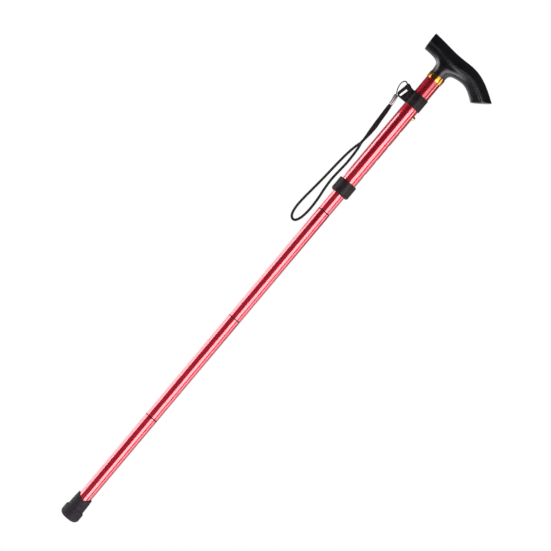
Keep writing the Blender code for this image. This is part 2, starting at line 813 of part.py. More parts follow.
def build_tube_below(seam, parent, bottom):
    """The tube of the section under a seam, numbered from the handle."""
    top = SEAM_LEVELS[seam - 1] - SEAM_HALF
    tube = sleeve(TUBE_RADIUS, TUBE_BORE, top - bottom, TUBE_EDGE)
    name = f"tube_{seam + 1}"
    return add_piece(name, tube, "red_anodised", parent, (0, 0, bottom))


# Tip


def ferrule_mesh():
    """Crowned foot with ring treads, a neck, and a rim that dips at the front and back."""
    profile = [(0, 0), (TREAD_RADII[0], 0), (TREAD_RADII[0], TREAD_DEPTH)]
    profile += [(TREAD_RADII[1], TREAD_DEPTH), (TREAD_RADII[1], 0)]
    for step in range(CROWN_STEPS + 1):
        angle = math.pi / 2 * step / CROWN_STEPS
        radius = FERRULE_FLAT + (FERRULE_RADIUS - FERRULE_FLAT) * math.sin(angle)
        profile.append((radius, FERRULE_CROWN * (1 - math.cos(angle))))
    shoulder = FERRULE_FOOT_HEIGHT - FERRULE_STEP / 2
    profile += [
        (FERRULE_RADIUS, shoulder),
        (FERRULE_RADIUS - FERRULE_STEP / 6, FERRULE_FOOT_HEIGHT),
        (FERRULE_BORE + FERRULE_NECK_WALL, FERRULE_FOOT_HEIGHT + FERRULE_STEP / 2),
    ]
    rim_start = len(profile)
    for share in (0.55, 0.85, 1.0):
        height = FERRULE_FOOT_HEIGHT + FERRULE_STEP / 2
        level = height + (FERRULE_HEIGHT - height) * share
        narrowing = (FERRULE_NECK_WALL - FERRULE_RIM_WALL) * share**2
        profile.append((FERRULE_BORE + FERRULE_NECK_WALL - narrowing, level))
    profile += [(FERRULE_BORE, FERRULE_HEIGHT), (FERRULE_BORE, FERRULE_FLOOR)]
    profile.append((0, FERRULE_FLOOR))
    mesh = turned(profile)
    neck_level = profile[rim_start][1]
    for vertex in mesh.vertices:
        above = (vertex.co.z - neck_level) / (FERRULE_HEIGHT - neck_level)
        if above > 0:
            toward_y = vertex.co.y / math.hypot(vertex.co.x, vertex.co.y)
            vertex.co.z -= FERRULE_RIM_DIP * above * toward_y**2
    return mesh


def build_tip(parent, tube):
    add_piece("rubber_ferrule", ferrule_mesh(), "rubber", parent)
    washer = rod(TUBE_RADIUS, WASHER_THICKNESS, TUBE_EDGE, INNER_FACETS)
    add_piece("ferrule_washer", washer, "steel", parent, (0, 0, WASHER_LEVEL))
    level = FOOT_TUBE_BOTTOM + GAP
    build_anchor("tip", tube, FOOT_TUBE_BOTTOM, parent, level, flip=True)
    return level + STOP_POCKET - GAP - STOP_LENGTH


# Wrist strap


def build_wrist_strap(swinging):
    at = (-BAND_RADIUS, 0, BAND_LEVEL + BAND_HEIGHT)
    back = [(x, -y, z) for x, y, z in STRING_HALF_ROUTE[-2::-1]]
    string = smooth_route([*STRING_HALF_ROUTE, *back])
    add_cord("lanyard_string", string, STRING_RADIUS, "black_cord", swinging, at)

    top = Vector((CRIMP_TOP[0], 0, CRIMP_TOP[1]))
    end = Vector((CRIMP_END[0], 0, CRIMP_END[1]))
    run = (end - top).normalized()
    across = Vector((-run.z, 0, run.x))
    rings = []
    for centre, inset in ((top, 1), (top + run * CRIMP_ROUNDING, 0), (end, 0)):
        half = CRIMP_HALF_WIDTH - CRIMP_ROUNDING * inset
        depth = CRIMP_HALF_DEPTH - CRIMP_ROUNDING * inset
        rings.append(oval(centre, across, half, depth))
    add_piece("strap_crimp", lofted(rings), "crimp", swinging, at)

    start = end + run * GAP
    sections = []
    for drop, x, half_width, half_depth in WEBBING_SECTIONS:
        lean = across if drop == 0 else Vector((1, 0, 0))
        centre = Vector((x if drop else start.x, 0, start.z - drop))
        sections.append(oval(centre, lean, half_width, half_depth))
    add_piece("strap_webbing", lofted(sections), "webbing", swinging, at)

    loop = smooth_route(LOOP_ROUTE)
    add_cord("strap_loop", loop, STRAP_CORD_RADIUS, "black_cord", swinging, at)


# The cane


def build_cane():
    upper = joint_empty("upper_section", None, (0, 0, NECK_LEVEL))
    build_handle(upper)
    build_outer_tube(upper)
    build_strap_band(upper)

    turning = joint_empty("collar_axis", upper, (0, 0, COLLAR_LEVEL))
    build_locking_collar(upper, turning)

    sliding = joint_empty("height_slide", upper, (0, 0, TOP_HOLE_LEVEL))
    inner, inner_bottom = build_inner_tube(sliding)
    pressing = joint_empty("button_press", sliding, (0, 0, TOP_HOLE_LEVEL))
    build_snap_button(pressing)
    anchor_level = TOP_HOLE_LEVEL - ANCHOR_BELOW_HOLE - ANCHOR_LENGTH
    build_anchor("top", inner, inner_bottom, sliding, anchor_level, flip=False)

    fold_sides = ((0, 1), (0, -1), (1, 0))
    above = sliding
    cord_top = anchor_level + ANCHOR_LENGTH - STOP_POCKET + GAP + STOP_LENGTH
    for number, (level, side) in enumerate(zip(SEAM_LEVELS, fold_sides), start=1):
        pulling = joint_empty(f"pull_{number}", above, (0, 0, level))
        axis_at = (side[0] * FOLD_RADIUS, side[1] * FOLD_RADIUS, level)
        folding = joint_empty(f"fold_{number}", pulling, axis_at)
        build_joint(number, above, pulling)
        add_elastic(number, above, level + GAP, cord_top)
        is_foot = number == len(SEAM_LEVELS)
        bottom = FOOT_TUBE_BOTTOM if is_foot else SEAM_LEVELS[number] + SEAM_HALF
        tube = build_tube_below(number, folding, bottom)
        cord_top = level - NOSE_LENGTH - 2 * GAP
        above = folding
    cord_bottom = build_tip(above, tube)
    add_elastic(len(SEAM_LEVELS) + 1, above, cord_bottom, cord_top)

    slot_x, _, slot_z = STRING_HALF_ROUTE[-1]
    pivot = (slot_x - BAND_RADIUS, 0, BAND_LEVEL + BAND_HEIGHT + slot_z)
    swinging = joint_empty("strap_swing", upper, pivot)
    build_wrist_strap(swinging)


clear_scene()
build_cane()
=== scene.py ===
"""Looks of the folding walking cane: finishes, fine shapes, cords, lights and camera."""

import json
import math

import bmesh
import bpy
import numpy as np
from mathutils import Matrix, Vector


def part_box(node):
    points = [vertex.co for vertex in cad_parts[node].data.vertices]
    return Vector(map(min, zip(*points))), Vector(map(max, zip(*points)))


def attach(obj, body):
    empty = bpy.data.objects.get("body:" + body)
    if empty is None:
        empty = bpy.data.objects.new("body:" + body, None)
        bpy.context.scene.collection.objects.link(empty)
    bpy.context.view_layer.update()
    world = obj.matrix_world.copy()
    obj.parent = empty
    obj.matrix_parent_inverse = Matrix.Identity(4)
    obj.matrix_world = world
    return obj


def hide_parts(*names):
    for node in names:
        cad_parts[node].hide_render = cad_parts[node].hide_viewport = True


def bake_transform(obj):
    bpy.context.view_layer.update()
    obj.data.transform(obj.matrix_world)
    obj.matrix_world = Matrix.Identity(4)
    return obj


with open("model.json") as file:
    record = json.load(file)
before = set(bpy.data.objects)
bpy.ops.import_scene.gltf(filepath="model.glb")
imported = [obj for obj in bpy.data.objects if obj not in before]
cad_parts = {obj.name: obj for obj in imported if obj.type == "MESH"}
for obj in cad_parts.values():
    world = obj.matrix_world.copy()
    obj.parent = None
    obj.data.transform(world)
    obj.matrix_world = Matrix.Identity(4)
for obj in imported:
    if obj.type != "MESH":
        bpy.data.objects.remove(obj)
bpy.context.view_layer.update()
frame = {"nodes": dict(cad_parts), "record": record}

# Sizes in metres. The frame gives the places of the parts, and these give their details.
GAP = 0.0003
TUBE_WALL = 0.0012
TUBE_LIP = 0.00015
FACETS = 96
SMALL_FACETS = 48
CORD_FACETS = 24
COLLAR_FACETS = 192
WELD_DISTANCE = 0.000001

FOOT_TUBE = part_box("tube_4")
TUBE_RADIUS = FOOT_TUBE[1].x
OUTER_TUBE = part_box("outer_tube")
OUTER_RADIUS = OUTER_TUBE[1].x
NECK_LEVEL = OUTER_TUBE[1].z
GOLD_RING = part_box("gold_ring")
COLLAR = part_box("locking_collar")
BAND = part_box("strap_band")
BAND_RADIUS = BAND[1].x
NECK_TO_BAND = 0.0344
BAND_TOP = NECK_LEVEL - NECK_TO_BAND
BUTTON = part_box("snap_button")
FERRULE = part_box("rubber_ferrule")

# Camera: it looks along +Y and is rolled, so that the shaft lies across the frame
VIEW_WIDTH = 0.7345
VIEW_CENTRE = (0.0051, 0.0, 0.4262)
VIEW_DISTANCE = 4.0
VIEW_ROLL = math.radians(39.98)
SENSOR_WIDTH = 36.0

# Height holes, from the top one down, on the +X side
HOLE_COUNT = 5
HOLE_PITCH = 0.025
HOLE_RADIUS = 0.0033
HOLE_EDGE = 0.00035
NECK_TO_TOP_HOLE = 0.0644
HOLE_TOP = NECK_LEVEL - NECK_TO_TOP_HOLE

# Snap button and the bent leaf spring that it sits on
BUTTON_RADIUS = 0.0030
BUTTON_DOME = 0.0014
DOME_STEPS = 12
SPRING_THICKNESS = 0.0006
SPRING_WIDTH = 0.0060
SPRING_REACH = -BUTTON[0].x
SPRING_ABOVE_BUTTON = 0.0070
SPRING_BELOW_BUTTON = 0.0300
SPRING_BEND_STEPS = 24

# Handle: each station's top x and z, bottom x and z over the neck, and half width
HANDLE_FOOT = NECK_LEVEL + GAP
HANDLE_STATIONS = (
    (-0.0378, 0.0424, -0.0366, 0.0166, 0.0096),
    (-0.0205, 0.0411, -0.0192, 0.0163, 0.0116),
    (-0.0095, 0.0398, -0.0122, 0.0125, 0.0123),
    (0.0030, 0.0387, 0.0010, 0.0100, 0.0127),
    (0.0160, 0.0389, 0.0146, 0.0108, 0.0130),
    (0.0290, 0.0395, 0.0255, 0.0130, 0.0131),
    (0.0425, 0.0378, 0.0365, 0.0131, 0.0130),
    (0.0605, 0.0302, 0.0470, 0.0073, 0.0124),
    (0.0790, 0.0180, 0.0560, 0.0008, 0.0110),
)
NECK_STATIONS = (2, 3, 4)
NECK_SIDES = 8
# Half of a section from the top line down: heights as shares, and the widest row's number.
# The rows under it are narrowed by the scoop and the underside, station by station.
SECTION_LEVELS = (1.0, 0.90, 0.55, 0.35, 0.13, 0.0)
WIDEST_ROW = 2
SHOULDER_SHARE = 0.70
SCOOP_SHARES = (0.86, 0.90, 0.98, 1.0, 0.87, 0.80, 0.79, 0.80, 0.83)
UNDERSIDE_SHARES = (0.70, 0.76, 0.88, 0.94, 0.79, 0.67, 0.62, 0.62, 0.62)
# Heights on the neck, and how far it stands proud of the outer tube there
NECK_FLARE = ((0.0072, 0.0006), (0.0032, 0.0001), (0.0, 0.0))
END_CREASE = 0.50
END_DOME = 0.0010
END_INSET = 0.80
RIDGE_CREASE = 0.35
HANDLE_SMOOTHING = 4
# Where the grip turns duller towards its top, as heights over the outer tube
DULLED_LEVELS = (0.020, 0.042)

# Edges of the gold ring and of the strap band's ring
GOLD_EDGE = 0.00022
BAND_EDGE = 0.0006

# Lug of the strap band and its slot, from the band's -X side at its top edge
LUG_ROOT = 0.0008
LUG_THICKNESS = 0.0050
LUG_EDGE = 0.0004
LUG_OUTLINE = (
    (LUG_ROOT, -0.0002),
    (-0.0045, 0.0004),
    (-0.0067, 0.0016),
    (-0.0103, 0.0027),
    (-0.0122, 0.0008),
    (-0.0127, -0.0040),
    (-0.0149, -0.0152),
    (-0.0143, -0.0176),
    (-0.0099, -0.0199),
    (LUG_ROOT, -0.0199),
)
LUG_CORNERS = (0, 0.002, 0.002, 0.0012, 0.0012, 0.002, 0.0008, 0.0008, 0.002, 0)
LUG_EDGE_STEPS = 3
SLOT_WIDTH = 0.0027
SLOT_TOP = (-0.0070, -0.0059)
SLOT_BOTTOM = (-0.0096, -0.0165)
SLOT_END_STEPS = 12

# Strap, from the same point: half of the string, the crimp, the webbing and the loop
STRING_RADIUS = 0.0007
STRING_STEP = 0.0003
STRING_BRAID = {"groove": 0.00012, "pitch": 0.0011, "strands": 4, "facets": 16}
STRING_HALF_ROUTE = (
    (-0.0138, -0.0009, -0.0201),
    (-0.0167, -0.0009, -0.0150),
    (-0.0188, -0.0009, -0.0085),
    (-0.0188, -0.0011, -0.0022),
    (-0.0160, -0.0023, 0.0018),
    (-0.0123, -0.0036, 0.0009),
    (-0.0091, -0.0037, -0.0026),
    (-0.0074, -0.0037, -0.0047),
    (-0.0068, -0.0031, -0.0055),
    (-0.0067, -0.0020, -0.0055),
    (-0.0067, 0.0, -0.0055),
)
CRIMP_TOP = (-0.0137, -0.0194)
CRIMP_END = (-0.0115, -0.0352)
CRIMP_HALF_WIDTH = 0.0030
CRIMP_HALF_DEPTH = 0.0021
CRIMP_RIBS = 10
CRIMP_RIB_POINTS = 6
CRIMP_SQUARENESS = 2.6
CRIMP_RIB = 0.00035
# The crimp's turned-in end: distances from its mouth, and how far it is drawn in there
CRIMP_MOUTH = ((0.0, 0.0007), (0.0002, 0.0003), (0.0006, 0.00005))
CRIMP_TO_WEBBING = 0.00005
WEBBING_POINTS = 40
WEBBING_SQUARENESS = 3.4
# The webbing's sections: the drop below the crimp, x, and the half width along x and along y
WEBBING_SECTIONS = (
    (0, 0, 0.0026, 0.0013),
    (0.0053, -0.0111, 0.0030, 0.0012),
    (0.0113, -0.0106, 0.0032, 0.0011),
    (0.0243, -0.0098, 0.0033, 0.0011),
    (0.0353, -0.0090, 0.0035, 0.0012),
    (0.0463, -0.0087, 0.0029, 0.0018),
    (0.0533, -0.0086, 0.0022, 0.0025),
    (0.0593, -0.0088, 0.0018, 0.0031),
    (0.0649, -0.0090, 0.0019, 0.0034),
)
LOOP_RADIUS = 0.0018
LOOP_STEP = 0.00045
LOOP_BRAID = {"groove": 0.00022, "pitch": 0.0026, "strands": 8, "facets": 32}
LOOP_ROUTE = (
    (-0.0094, -0.0018, -0.1004),
    (-0.0113, -0.0018, -0.1072),
    (-0.0134, -0.0015, -0.1185),
    (-0.0150, -0.0009, -0.1340),
    (-0.0161, -0.0003, -0.1500),
    (-0.0173, 0.0, -0.1690),
    (-0.0189, 0.0, -0.1880),
    (-0.0204, 0.0, -0.2060),
    (-0.0206, 0.0, -0.2200),
    (-0.0186, 0.0, -0.2305),
    (-0.0143, 0.0, -0.2350),
    (-0.0095, 0.0, -0.2335),
    (-0.0060, 0.0, -0.2250),
    (-0.0045, 0.0, -0.2110),
    (-0.0051, 0.0, -0.1935),
    (-0.0069, 0.0, -0.1780),
    (-0.0079, 0.0002, -0.1620),
    (-0.0072, 0.0007, -0.1470),
    (-0.0063, 0.0011, -0.1320),
    (-0.0066, 0.0015, -0.1180),
    (-0.0073, 0.0018, -0.1075),
    (-0.0085, 0.0018, -0.1004),
)

# Locking collar
COLLAR_WALL = 0.0009
COLLAR_FLOOR = 0.0019
COLLAR_CHAMFER = 0.0020
COLLAR_TOP_EDGE = (0.0004, 0.0009)
# Rows on its straight side: how far under its top and over its foot
COLLAR_ROWS = (0.0045, 0.0040)

# Ferrule
FERRULE_BORE = TUBE_RADIUS + GAP
FERRULE_FOOT_HEIGHT = 0.0165
FERRULE_NECK_WALL = 0.0020
FERRULE_RIM_WALL = 0.0010
FERRULE_RIM_DIP = 0.0060
FERRULE_FLOOR = 0.0070
FERRULE_FLAT = 0.0055
FERRULE_CROWN = 0.0068
FERRULE_STEP = 0.0030
TREAD_RADII = (0.0033, 0.0045)
TREAD_DEPTH = 0.0008
CROWN_STEPS = 24
CROWN_GROOVES = (6, 10, 14, 18)
CROWN_GROOVE_DEPTH = 0.00035
FERRULE_NECK_ROWS = 14
FERRULE_NECK_SHARES = (0.15, 0.97)

# Elastic cord where it shows between a joint plug and the next tube
CORD_RADIUS = 0.0020
BEND_CORD_RADIUS = 0.0013
PULL_RINGS = 24
BEND_RINGS = 40
JOINTS = (
    ("inner_section", "link_1", "section_2"),
    ("section_2", "link_2", "section_3"),
    ("section_3", "link_3", "section_4"),
)
# These fold about -X and -Y. For them the bend's ends are listed from the lower body first.
FOLDS_BACK = (2, 3)


# Finishes

# The tape's weave across and along it, in radians per metre
WARP_WAVES = 9500.0
RIB_WAVES = 7800.0


def blank_finish(name, colour, roughness, metallic=0.0, **sockets):
    """A new material with its Principled shader, whose plain sockets are set directly."""
    material = bpy.data.materials.new(name)
    material.use_nodes = True
    shader = material.node_tree.nodes["Principled BSDF"]
    shader.inputs["Base Color"].default_value = (*colour, 1.0)
    shader.inputs["Roughness"].default_value = roughness
    shader.inputs["Metallic"].default_value = metallic
    for socket, value in sockets.items():
        shader.inputs[socket.replace("_", " ")].default_value = value
    return material, material.node_tree, shader


def noise(tree, scale, detail=3.0, stretch=(1, 1, 1)):
    """A noise in object coordinates, with its grain drawn out along an axis by a small stretch."""
    place = tree.nodes.new("ShaderNodeTexCoord")
    mapping = tree.nodes.new("ShaderNodeMapping")
    mapping.inputs["Scale"].default_value = stretch
    texture = tree.nodes.new("ShaderNodeTexNoise")
    texture.inputs["Scale"].default_value = scale
    texture.inputs["Detail"].default_value = detail
    tree.links.new(place.outputs["Object"], mapping.inputs["Vector"])
    tree.links.new(mapping.outputs["Vector"], texture.inputs["Vector"])
    return texture.outputs["Fac"]


def axes(tree, coordinates="Object"):
    """The X, Y and Z of a point in the given texture coordinates."""
    place = tree.nodes.new("ShaderNodeTexCoord")
    split = tree.nodes.new("ShaderNodeSeparateXYZ")
    tree.links.new(place.outputs[coordinates], split.inputs["Vector"])
    return split.outputs


def ramp(tree, value, low, high, start=0.35, end=0.65, step="LINEAR"):
    """value taken from start..end to low..high."""
    node = tree.nodes.new("ShaderNodeMapRange")
    node.interpolation_type = step
    node.inputs["From Min"].default_value = start
    node.inputs["From Max"].default_value = end
    node.inputs["To Min"].default_value = low
    node.inputs["To Max"].default_value = high
    tree.links.new(value, node.inputs["Value"])
    return node.outputs["Result"]


def maths(tree, operation, first, second):
    node = tree.nodes.new("ShaderNodeMath")
    node.operation = operation
    for socket, value in zip(node.inputs, (first, second)):
        if isinstance(value, (int, float)):
            socket.default_value = value
        else:
            tree.links.new(value, socket)
    return node.outputs["Value"]


def smooth_share(tree, value, start, end):
    """value taken from start..end to 0..1 along a smooth step."""
    return ramp(tree, value, 0, 1, start, end, "SMOOTHSTEP")


def tint(tree, shader, share, first, second):
    """The base colour runs from first to second with share."""
    node = tree.nodes.new("ShaderNodeMix")
    node.data_type = "RGBA"
    node.inputs["A"].default_value = (*first, 1.0)
    node.inputs["B"].default_value = (*second, 1.0)
    tree.links.new(share, node.inputs["Factor"])
    tree.links.new(node.outputs["Result"], shader.inputs["Base Color"])


def roughen(tree, shader, value):
    tree.links.new(value, shader.inputs["Roughness"])


def relief(tree, shader, height, depth, strength=1.0):
    node = tree.nodes.new("ShaderNodeBump")
    node.inputs["Strength"].default_value = strength
    node.inputs["Distance"].default_value = depth
    tree.links.new(height, node.inputs["Height"])
    tree.links.new(node.outputs["Normal"], shader.inputs["Normal"])


def red_anodised():
    """Satin tube, drawn lengthwise and dyed red in faint clouds, under a clear glossy seal."""
    material, tree, shader = blank_finish(
        "red_anodised_finish",
        (0.50, 0.009, 0.030),
        0.46,
        1.0,
        Coat_Weight=1.0,
        Coat_Roughness=0.06,
        Coat_IOR=1.92,
    )
    drawn = noise(tree, 2500, 2.0, (1, 1, 0.012))
    cloudy = noise(tree, 55, 3.0, (1, 1, 0.3))
    tint(tree, shader, ramp(tree, cloudy, 0, 1), (0.515, 0.0095, 0.0315), (0.485, 0.0085, 0.0285))
    roughen(tree, shader, ramp(tree, drawn, 0.44, 0.48))
    relief(tree, shader, drawn, 0.000001)
    return material


def handle_plastic():
    """Satin moulded grip: a fine spark-eroded grain, a little duller on top."""
    material, tree, shader = blank_finish(
        "handle_plastic_finish", (0.005, 0.004, 0.006), 0.28, Specular_IOR_Level=0.44
    )
    grain = noise(tree, 2600, 2.0)
    smudges = noise(tree, 70, 4.0)
    low, high = (NECK_LEVEL + level for level in DULLED_LEVELS)
    duller = ramp(tree, axes(tree)["Z"], 0.0, 0.05, low, high)
    roughen(tree, shader, maths(tree, "ADD", ramp(tree, smudges, 0.25, 0.31), duller))
    tint(tree, shader, ramp(tree, smudges, 0, 1), (0.004, 0.003, 0.005), (0.007, 0.006, 0.008))
    relief(tree, shader, grain, 0.000008, 0.5)
    return material


def moulded_plastic():
    """Matt black moulding with a coarse even grain."""
    material, tree, shader = blank_finish(
        "moulded_plastic_finish", (0.012, 0.006, 0.009), 0.46, Specular_IOR_Level=0.16
    )
    grain = noise(tree, 1500, 3.0)
    cloudy = noise(tree, 120, 3.0)
    roughen(tree, shader, ramp(tree, cloudy, 0.40, 0.52))
    tint(tree, shader, ramp(tree, cloudy, 0, 1), (0.010, 0.005, 0.007), (0.016, 0.009, 0.012))
    relief(tree, shader, grain, 0.00004, 0.6)
    return material


def joint_plastic():
    """Plain dark moulding inside the shaft, scuffed lengthwise where it slides."""
    material, tree, shader = blank_finish(
        "joint_plastic_finish", (0.008, 0.006, 0.007), 0.5, Specular_IOR_Level=0.12
    )
    scuffs = noise(tree, 500, 4.0, (1, 1, 0.05))
    roughen(tree, shader, ramp(tree, scuffs, 0.38, 0.60))
    tint(tree, shader, ramp(tree, scuffs, 0, 1), (0.006, 0.005, 0.006), (0.013, 0.011, 0.012))
    relief(tree, shader, scuffs, 0.00002, 0.5)
    return material


def gold():
    """Polished ring, turned round its axis."""
    material, tree, shader = blank_finish("gold_finish", (0.56, 0.255, 0.047), 0.20, 1.0)
    turned_marks = noise(tree, 60, 2.0, (1, 1, 90))
    cloudy = noise(tree, 160, 3.0)
    tint(tree, shader, ramp(tree, cloudy, 0, 1), (0.58, 0.27, 0.050), (0.53, 0.24, 0.043))
    roughen(tree, shader, ramp(tree, turned_marks, 0.17, 0.23))
    relief(tree, shader, turned_marks, 0.000001)
    return material


def steel():
    """Plated spring steel, finely brushed."""
    material, tree, shader = blank_finish("steel_finish", (0.62, 0.61, 0.60), 0.25, 1.0)
    brushed = noise(tree, 900, 3.0, (1, 0.1, 1))
    tint(tree, shader, ramp(tree, brushed, 0, 1), (0.68, 0.67, 0.65), (0.50, 0.49, 0.48))
    roughen(tree, shader, ramp(tree, brushed, 0.18, 0.34))
    relief(tree, shader, brushed, 0.000006)
    return material


def passivated():
    """Steel with the warm yellow film of its zinc plating, polished by the thumb."""
    material, tree, shader = blank_finish("passivated_finish", (0.72, 0.55, 0.27), 0.22, 1.0)
    film = noise(tree, 700, 3.0)
    tint(tree, shader, ramp(tree, film, 0, 1), (0.76, 0.60, 0.32), (0.62, 0.44, 0.20))
    roughen(tree, shader, ramp(tree, film, 0.18, 0.30))
    relief(tree, shader, film, 0.000003)
    return material


def rubber():
    """Dull tip rubber, greyed by dust and wear towards the ground."""
    material, tree, shader = blank_finish(
        "rubber_finish", (0.014, 0.010, 0.015), 0.66, Specular_IOR_Level=0.22
    )
    grain = noise(tree, 1300, 4.0)
    patches = noise(tree, 240, 4.0)
    low = ramp(tree, axes(tree)["Z"], 1.0, 0.0, 0.0, 0.008)
    worn = maths(tree, "MULTIPLY", low, ramp(tree, patches, 0.2, 1.0))
    tint(tree, shader, worn, (0.013, 0.009, 0.014), (0.044, 0.038, 0.042))
    roughen(tree, shader, ramp(tree, patches, 0.58, 0.74))
    relief(tree, shader, grain, 0.00006, 0.7)
    return material


def black_cord():
    """Braided polyester: fine glints on each thread and duller grooves."""
    material, tree, shader = blank_finish(
        "black_cord_finish", (0.008, 0.006, 0.007), 0.6, Specular_IOR_Level=0.2
    )
    threads = noise(tree, 3200, 2.0)
    patches = noise(tree, 260, 3.0)
    tint(tree, shader, ramp(tree, patches, 0, 1), (0.006, 0.004, 0.005), (0.011, 0.008, 0.009))
    roughen(tree, shader, ramp(tree, threads, 0.45, 0.70))
    relief(tree, shader, threads, 0.00006, 0.8)
    return material


def webbing():
    """Flat woven tape: ribs across it, with the warp threads between, and painted shade in the
    weave's hollows.
    """
    material, tree, shader = blank_finish(
        "webbing_finish", (0.012, 0.007, 0.008), 0.8, Specular_IOR_Level=0.15
    )
    place = axes(tree)
    across = maths(tree, "SINE", maths(tree, "MULTIPLY", place["X"], WARP_WAVES), 0.0)
    along = maths(tree, "SINE", maths(tree, "MULTIPLY", place["Z"], RIB_WAVES), 0.0)
    weave = maths(tree, "MULTIPLY", across, along)
    fuzz = noise(tree, 2800, 3.0)
    height = maths(tree, "ADD", weave, fuzz)
    # The colour follows the weave: darker in its hollows and lighter on the raised threads, a
    # painted shade and painted highlight.
    painted_weave_shading = ramp(tree, weave, 0, 1, -1, 1)
    tint(tree, shader, painted_weave_shading, (0.007, 0.004, 0.005), (0.020, 0.012, 0.014))
    roughen(tree, shader, ramp(tree, fuzz, 0.7, 0.9))
    relief(tree, shader, height, 0.00009, 0.8)
    return material


def crimp():
    """Satin pressed metal with fine marks along it."""
    material, tree, shader = blank_finish("crimp_finish", (0.30, 0.25, 0.28), 0.42, 1.0)
    marks = noise(tree, 700, 3.0, (1, 1, 0.2))
    tint(tree, shader, ramp(tree, marks, 0, 1), (0.36, 0.30, 0.33), (0.24, 0.19, 0.22))
    roughen(tree, shader, ramp(tree, marks, 0.36, 0.50))
    relief(tree, shader, marks, 0.00001)
    return material


FINISHES = {
    make.__name__: make()
    for make in (
        red_anodised,
        handle_plastic,
        moulded_plastic,
        joint_plastic,
        gold,
        steel,
        passivated,
        rubber,
        black_cord,
        webbing,
        crimp,
    )
}


# Mesh tools


def dress(name, mesh, slot, body, replaces=(), sharp=35, finish=None):
    """A finished piece from a mesh in row coordinates, riding on body if one is given.

    Edges that turn by more than sharp degrees stay hard.
    """
    mesh.name = name
    mesh.materials.clear()
    mesh.materials.append(FINISHES[finish or slot])
    mesh.shade_smooth()
    mesh.set_sharp_from_angle(angle=math.radians(sharp))
    piece = bpy.data.objects.new(name, mesh)
    bpy.context.scene.collection.objects.link(piece)
    if replaces:
        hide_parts(*replaces)
    if body:
        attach(piece, body)
    return piece


def mesh_from(bm):
    bmesh.ops.recalc_face_normals(bm, faces=bm.faces)
    mesh = bpy.data.meshes.new("mesh")
    bm.to_mesh(mesh)
    bm.free()
    return mesh


def rounded(outline, radii, steps=4, closed=True):
    """The outline with its corners rounded, each by its own radius or all by one."""
    points = [Vector(point) for point in outline]
    if isinstance(radii, (int, float)):
        radii = [radii] * len(points)
    result = []
    for k, (point, radius) in enumerate(zip(points, radii)):
        at_end = not closed and k in (0, len(points) - 1)
        if radius <= 0 or at_end:
            result.append(tuple(point))
            continue
        to_last = points[k - 1] - point
        to_next = points[(k + 1) % len(points)] - point
        half = to_last.angle(to_next) / 2
        reach = radius / max(math.tan(half), 0.05)
        reach = min(reach, 0.45 * to_last.length, 0.45 * to_next.length)
        start = point + reach * to_last.normalized()
        end = point + reach * to_next.normalized()
        for step in range(steps + 1):
            t = step / steps
            spot = (1 - t) ** 2 * start + 2 * t * (1 - t) * point + t**2 * end
            result.append(tuple(spot))
    return result


def turned(profile, facets=FACETS):
    """A solid turned about Z from (radius, z) points: a line from axis to axis, or a closed loop.

    It is built facet by facet, because Blender's spin orders its faces anew in each run.
    """
    bm = bmesh.new()
    angles = [math.tau * k / facets for k in range(facets)]
    rows = []
    for radius, z in profile:
        if radius > 0:
            spots = [(radius * math.cos(angle), radius * math.sin(angle), z) for angle in angles]
            rows.append([bm.verts.new(spot) for spot in spots])
        else:
            rows.append([bm.verts.new((0, 0, z))] * facets)
    following = rows[1:] + rows[:1] if profile[0][0] > 0 else rows[1:]
    for row, after in zip(rows, following):
        for k in range(facets):
            ahead = (k + 1) % facets
            corners = dict.fromkeys((row[k], row[ahead], after[ahead], after[k]))
            bm.faces.new(list(corners))
    return mesh_from(bm)


def sleeve_profile(outer, inner, low, high, edge):
    """A plain tube's wall, for turned, with its corners rounded by edge."""
    corners = [(outer, high), (outer, low), (inner, low), (inner, high)]
    return rounded(corners, edge)


def lofted(rings):
    """A closed solid through rings of the same number of points."""
    bm = bmesh.new()
    rows = [[bm.verts.new(point) for point in ring] for ring in rings]
    count = len(rows[0])
    for low, high in zip(rows, rows[1:]):
        for k in range(count):
            bm.faces.new((low[k], low[(k + 1) % count], high[(k + 1) % count], high[k]))
    bm.faces.new(rows[0])
    bm.faces.new(rows[-1])
    return mesh_from(bm)


def along_x():
    """Turns a mesh made up Z so that it points along +X."""
    return Matrix.Rotation(math.radians(90), 4, "Y")


def baked(mesh, *modifiers):
    """mesh with modifiers, given as (type, settings), applied."""
    holder = bpy.data.objects.new("holder", mesh)
    bpy.context.scene.collection.objects.link(holder)
    for kind, settings in modifiers:
        modifier = holder.modifiers.new(kind, kind)
        for name, value in settings.items():
            setattr(modifier, name, value)
    bpy.context.view_layer.update()
    graph = bpy.context.evaluated_depsgraph_get()
    result = bpy.data.meshes.new_from_object(holder.evaluated_get(graph))
    bpy.data.objects.remove(holder, do_unlink=True)
    return result


def cut(mesh, cutters):
    """mesh with the cutter meshes taken out of it, and the points that then coincide welded."""
    tools = []
    for cutter in cutters:
        tool = bpy.data.objects.new("cutter", cutter)
        bpy.context.scene.collection.objects.link(tool)
        tools.append(tool)
    steps = [("BOOLEAN", {"object": tool, "operation": "DIFFERENCE"}) for tool in tools]
    result = baked(mesh, *steps, ("WELD", {"merge_threshold": WELD_DISTANCE}))
    for tool in tools:
        bpy.data.objects.remove(tool, do_unlink=True)
    return result


def curve_through(knots, per_span):
    """Points on the Catmull-Rom curve through the knots, of any number of coordinates."""
    knots = [np.array(knot, float) for knot in knots]
    padded = [2 * knots[0] - knots[1], *knots, 2 * knots[-1] - knots[-2]]
    points = []
    for a, b, c, d in zip(padded, padded[1:], padded[2:], padded[3:]):
        for step in range(per_span):
            t = step / per_span
            points.append(
                0.5
                * (
                    2 * b
                    + (c - a) * t
                    + (2 * a - 5 * b + 4 * c - d) * t**2
                    + (3 * b - a - 3 * c + d) * t**3
                )
            )
    return np.array([*points, knots[-1]])


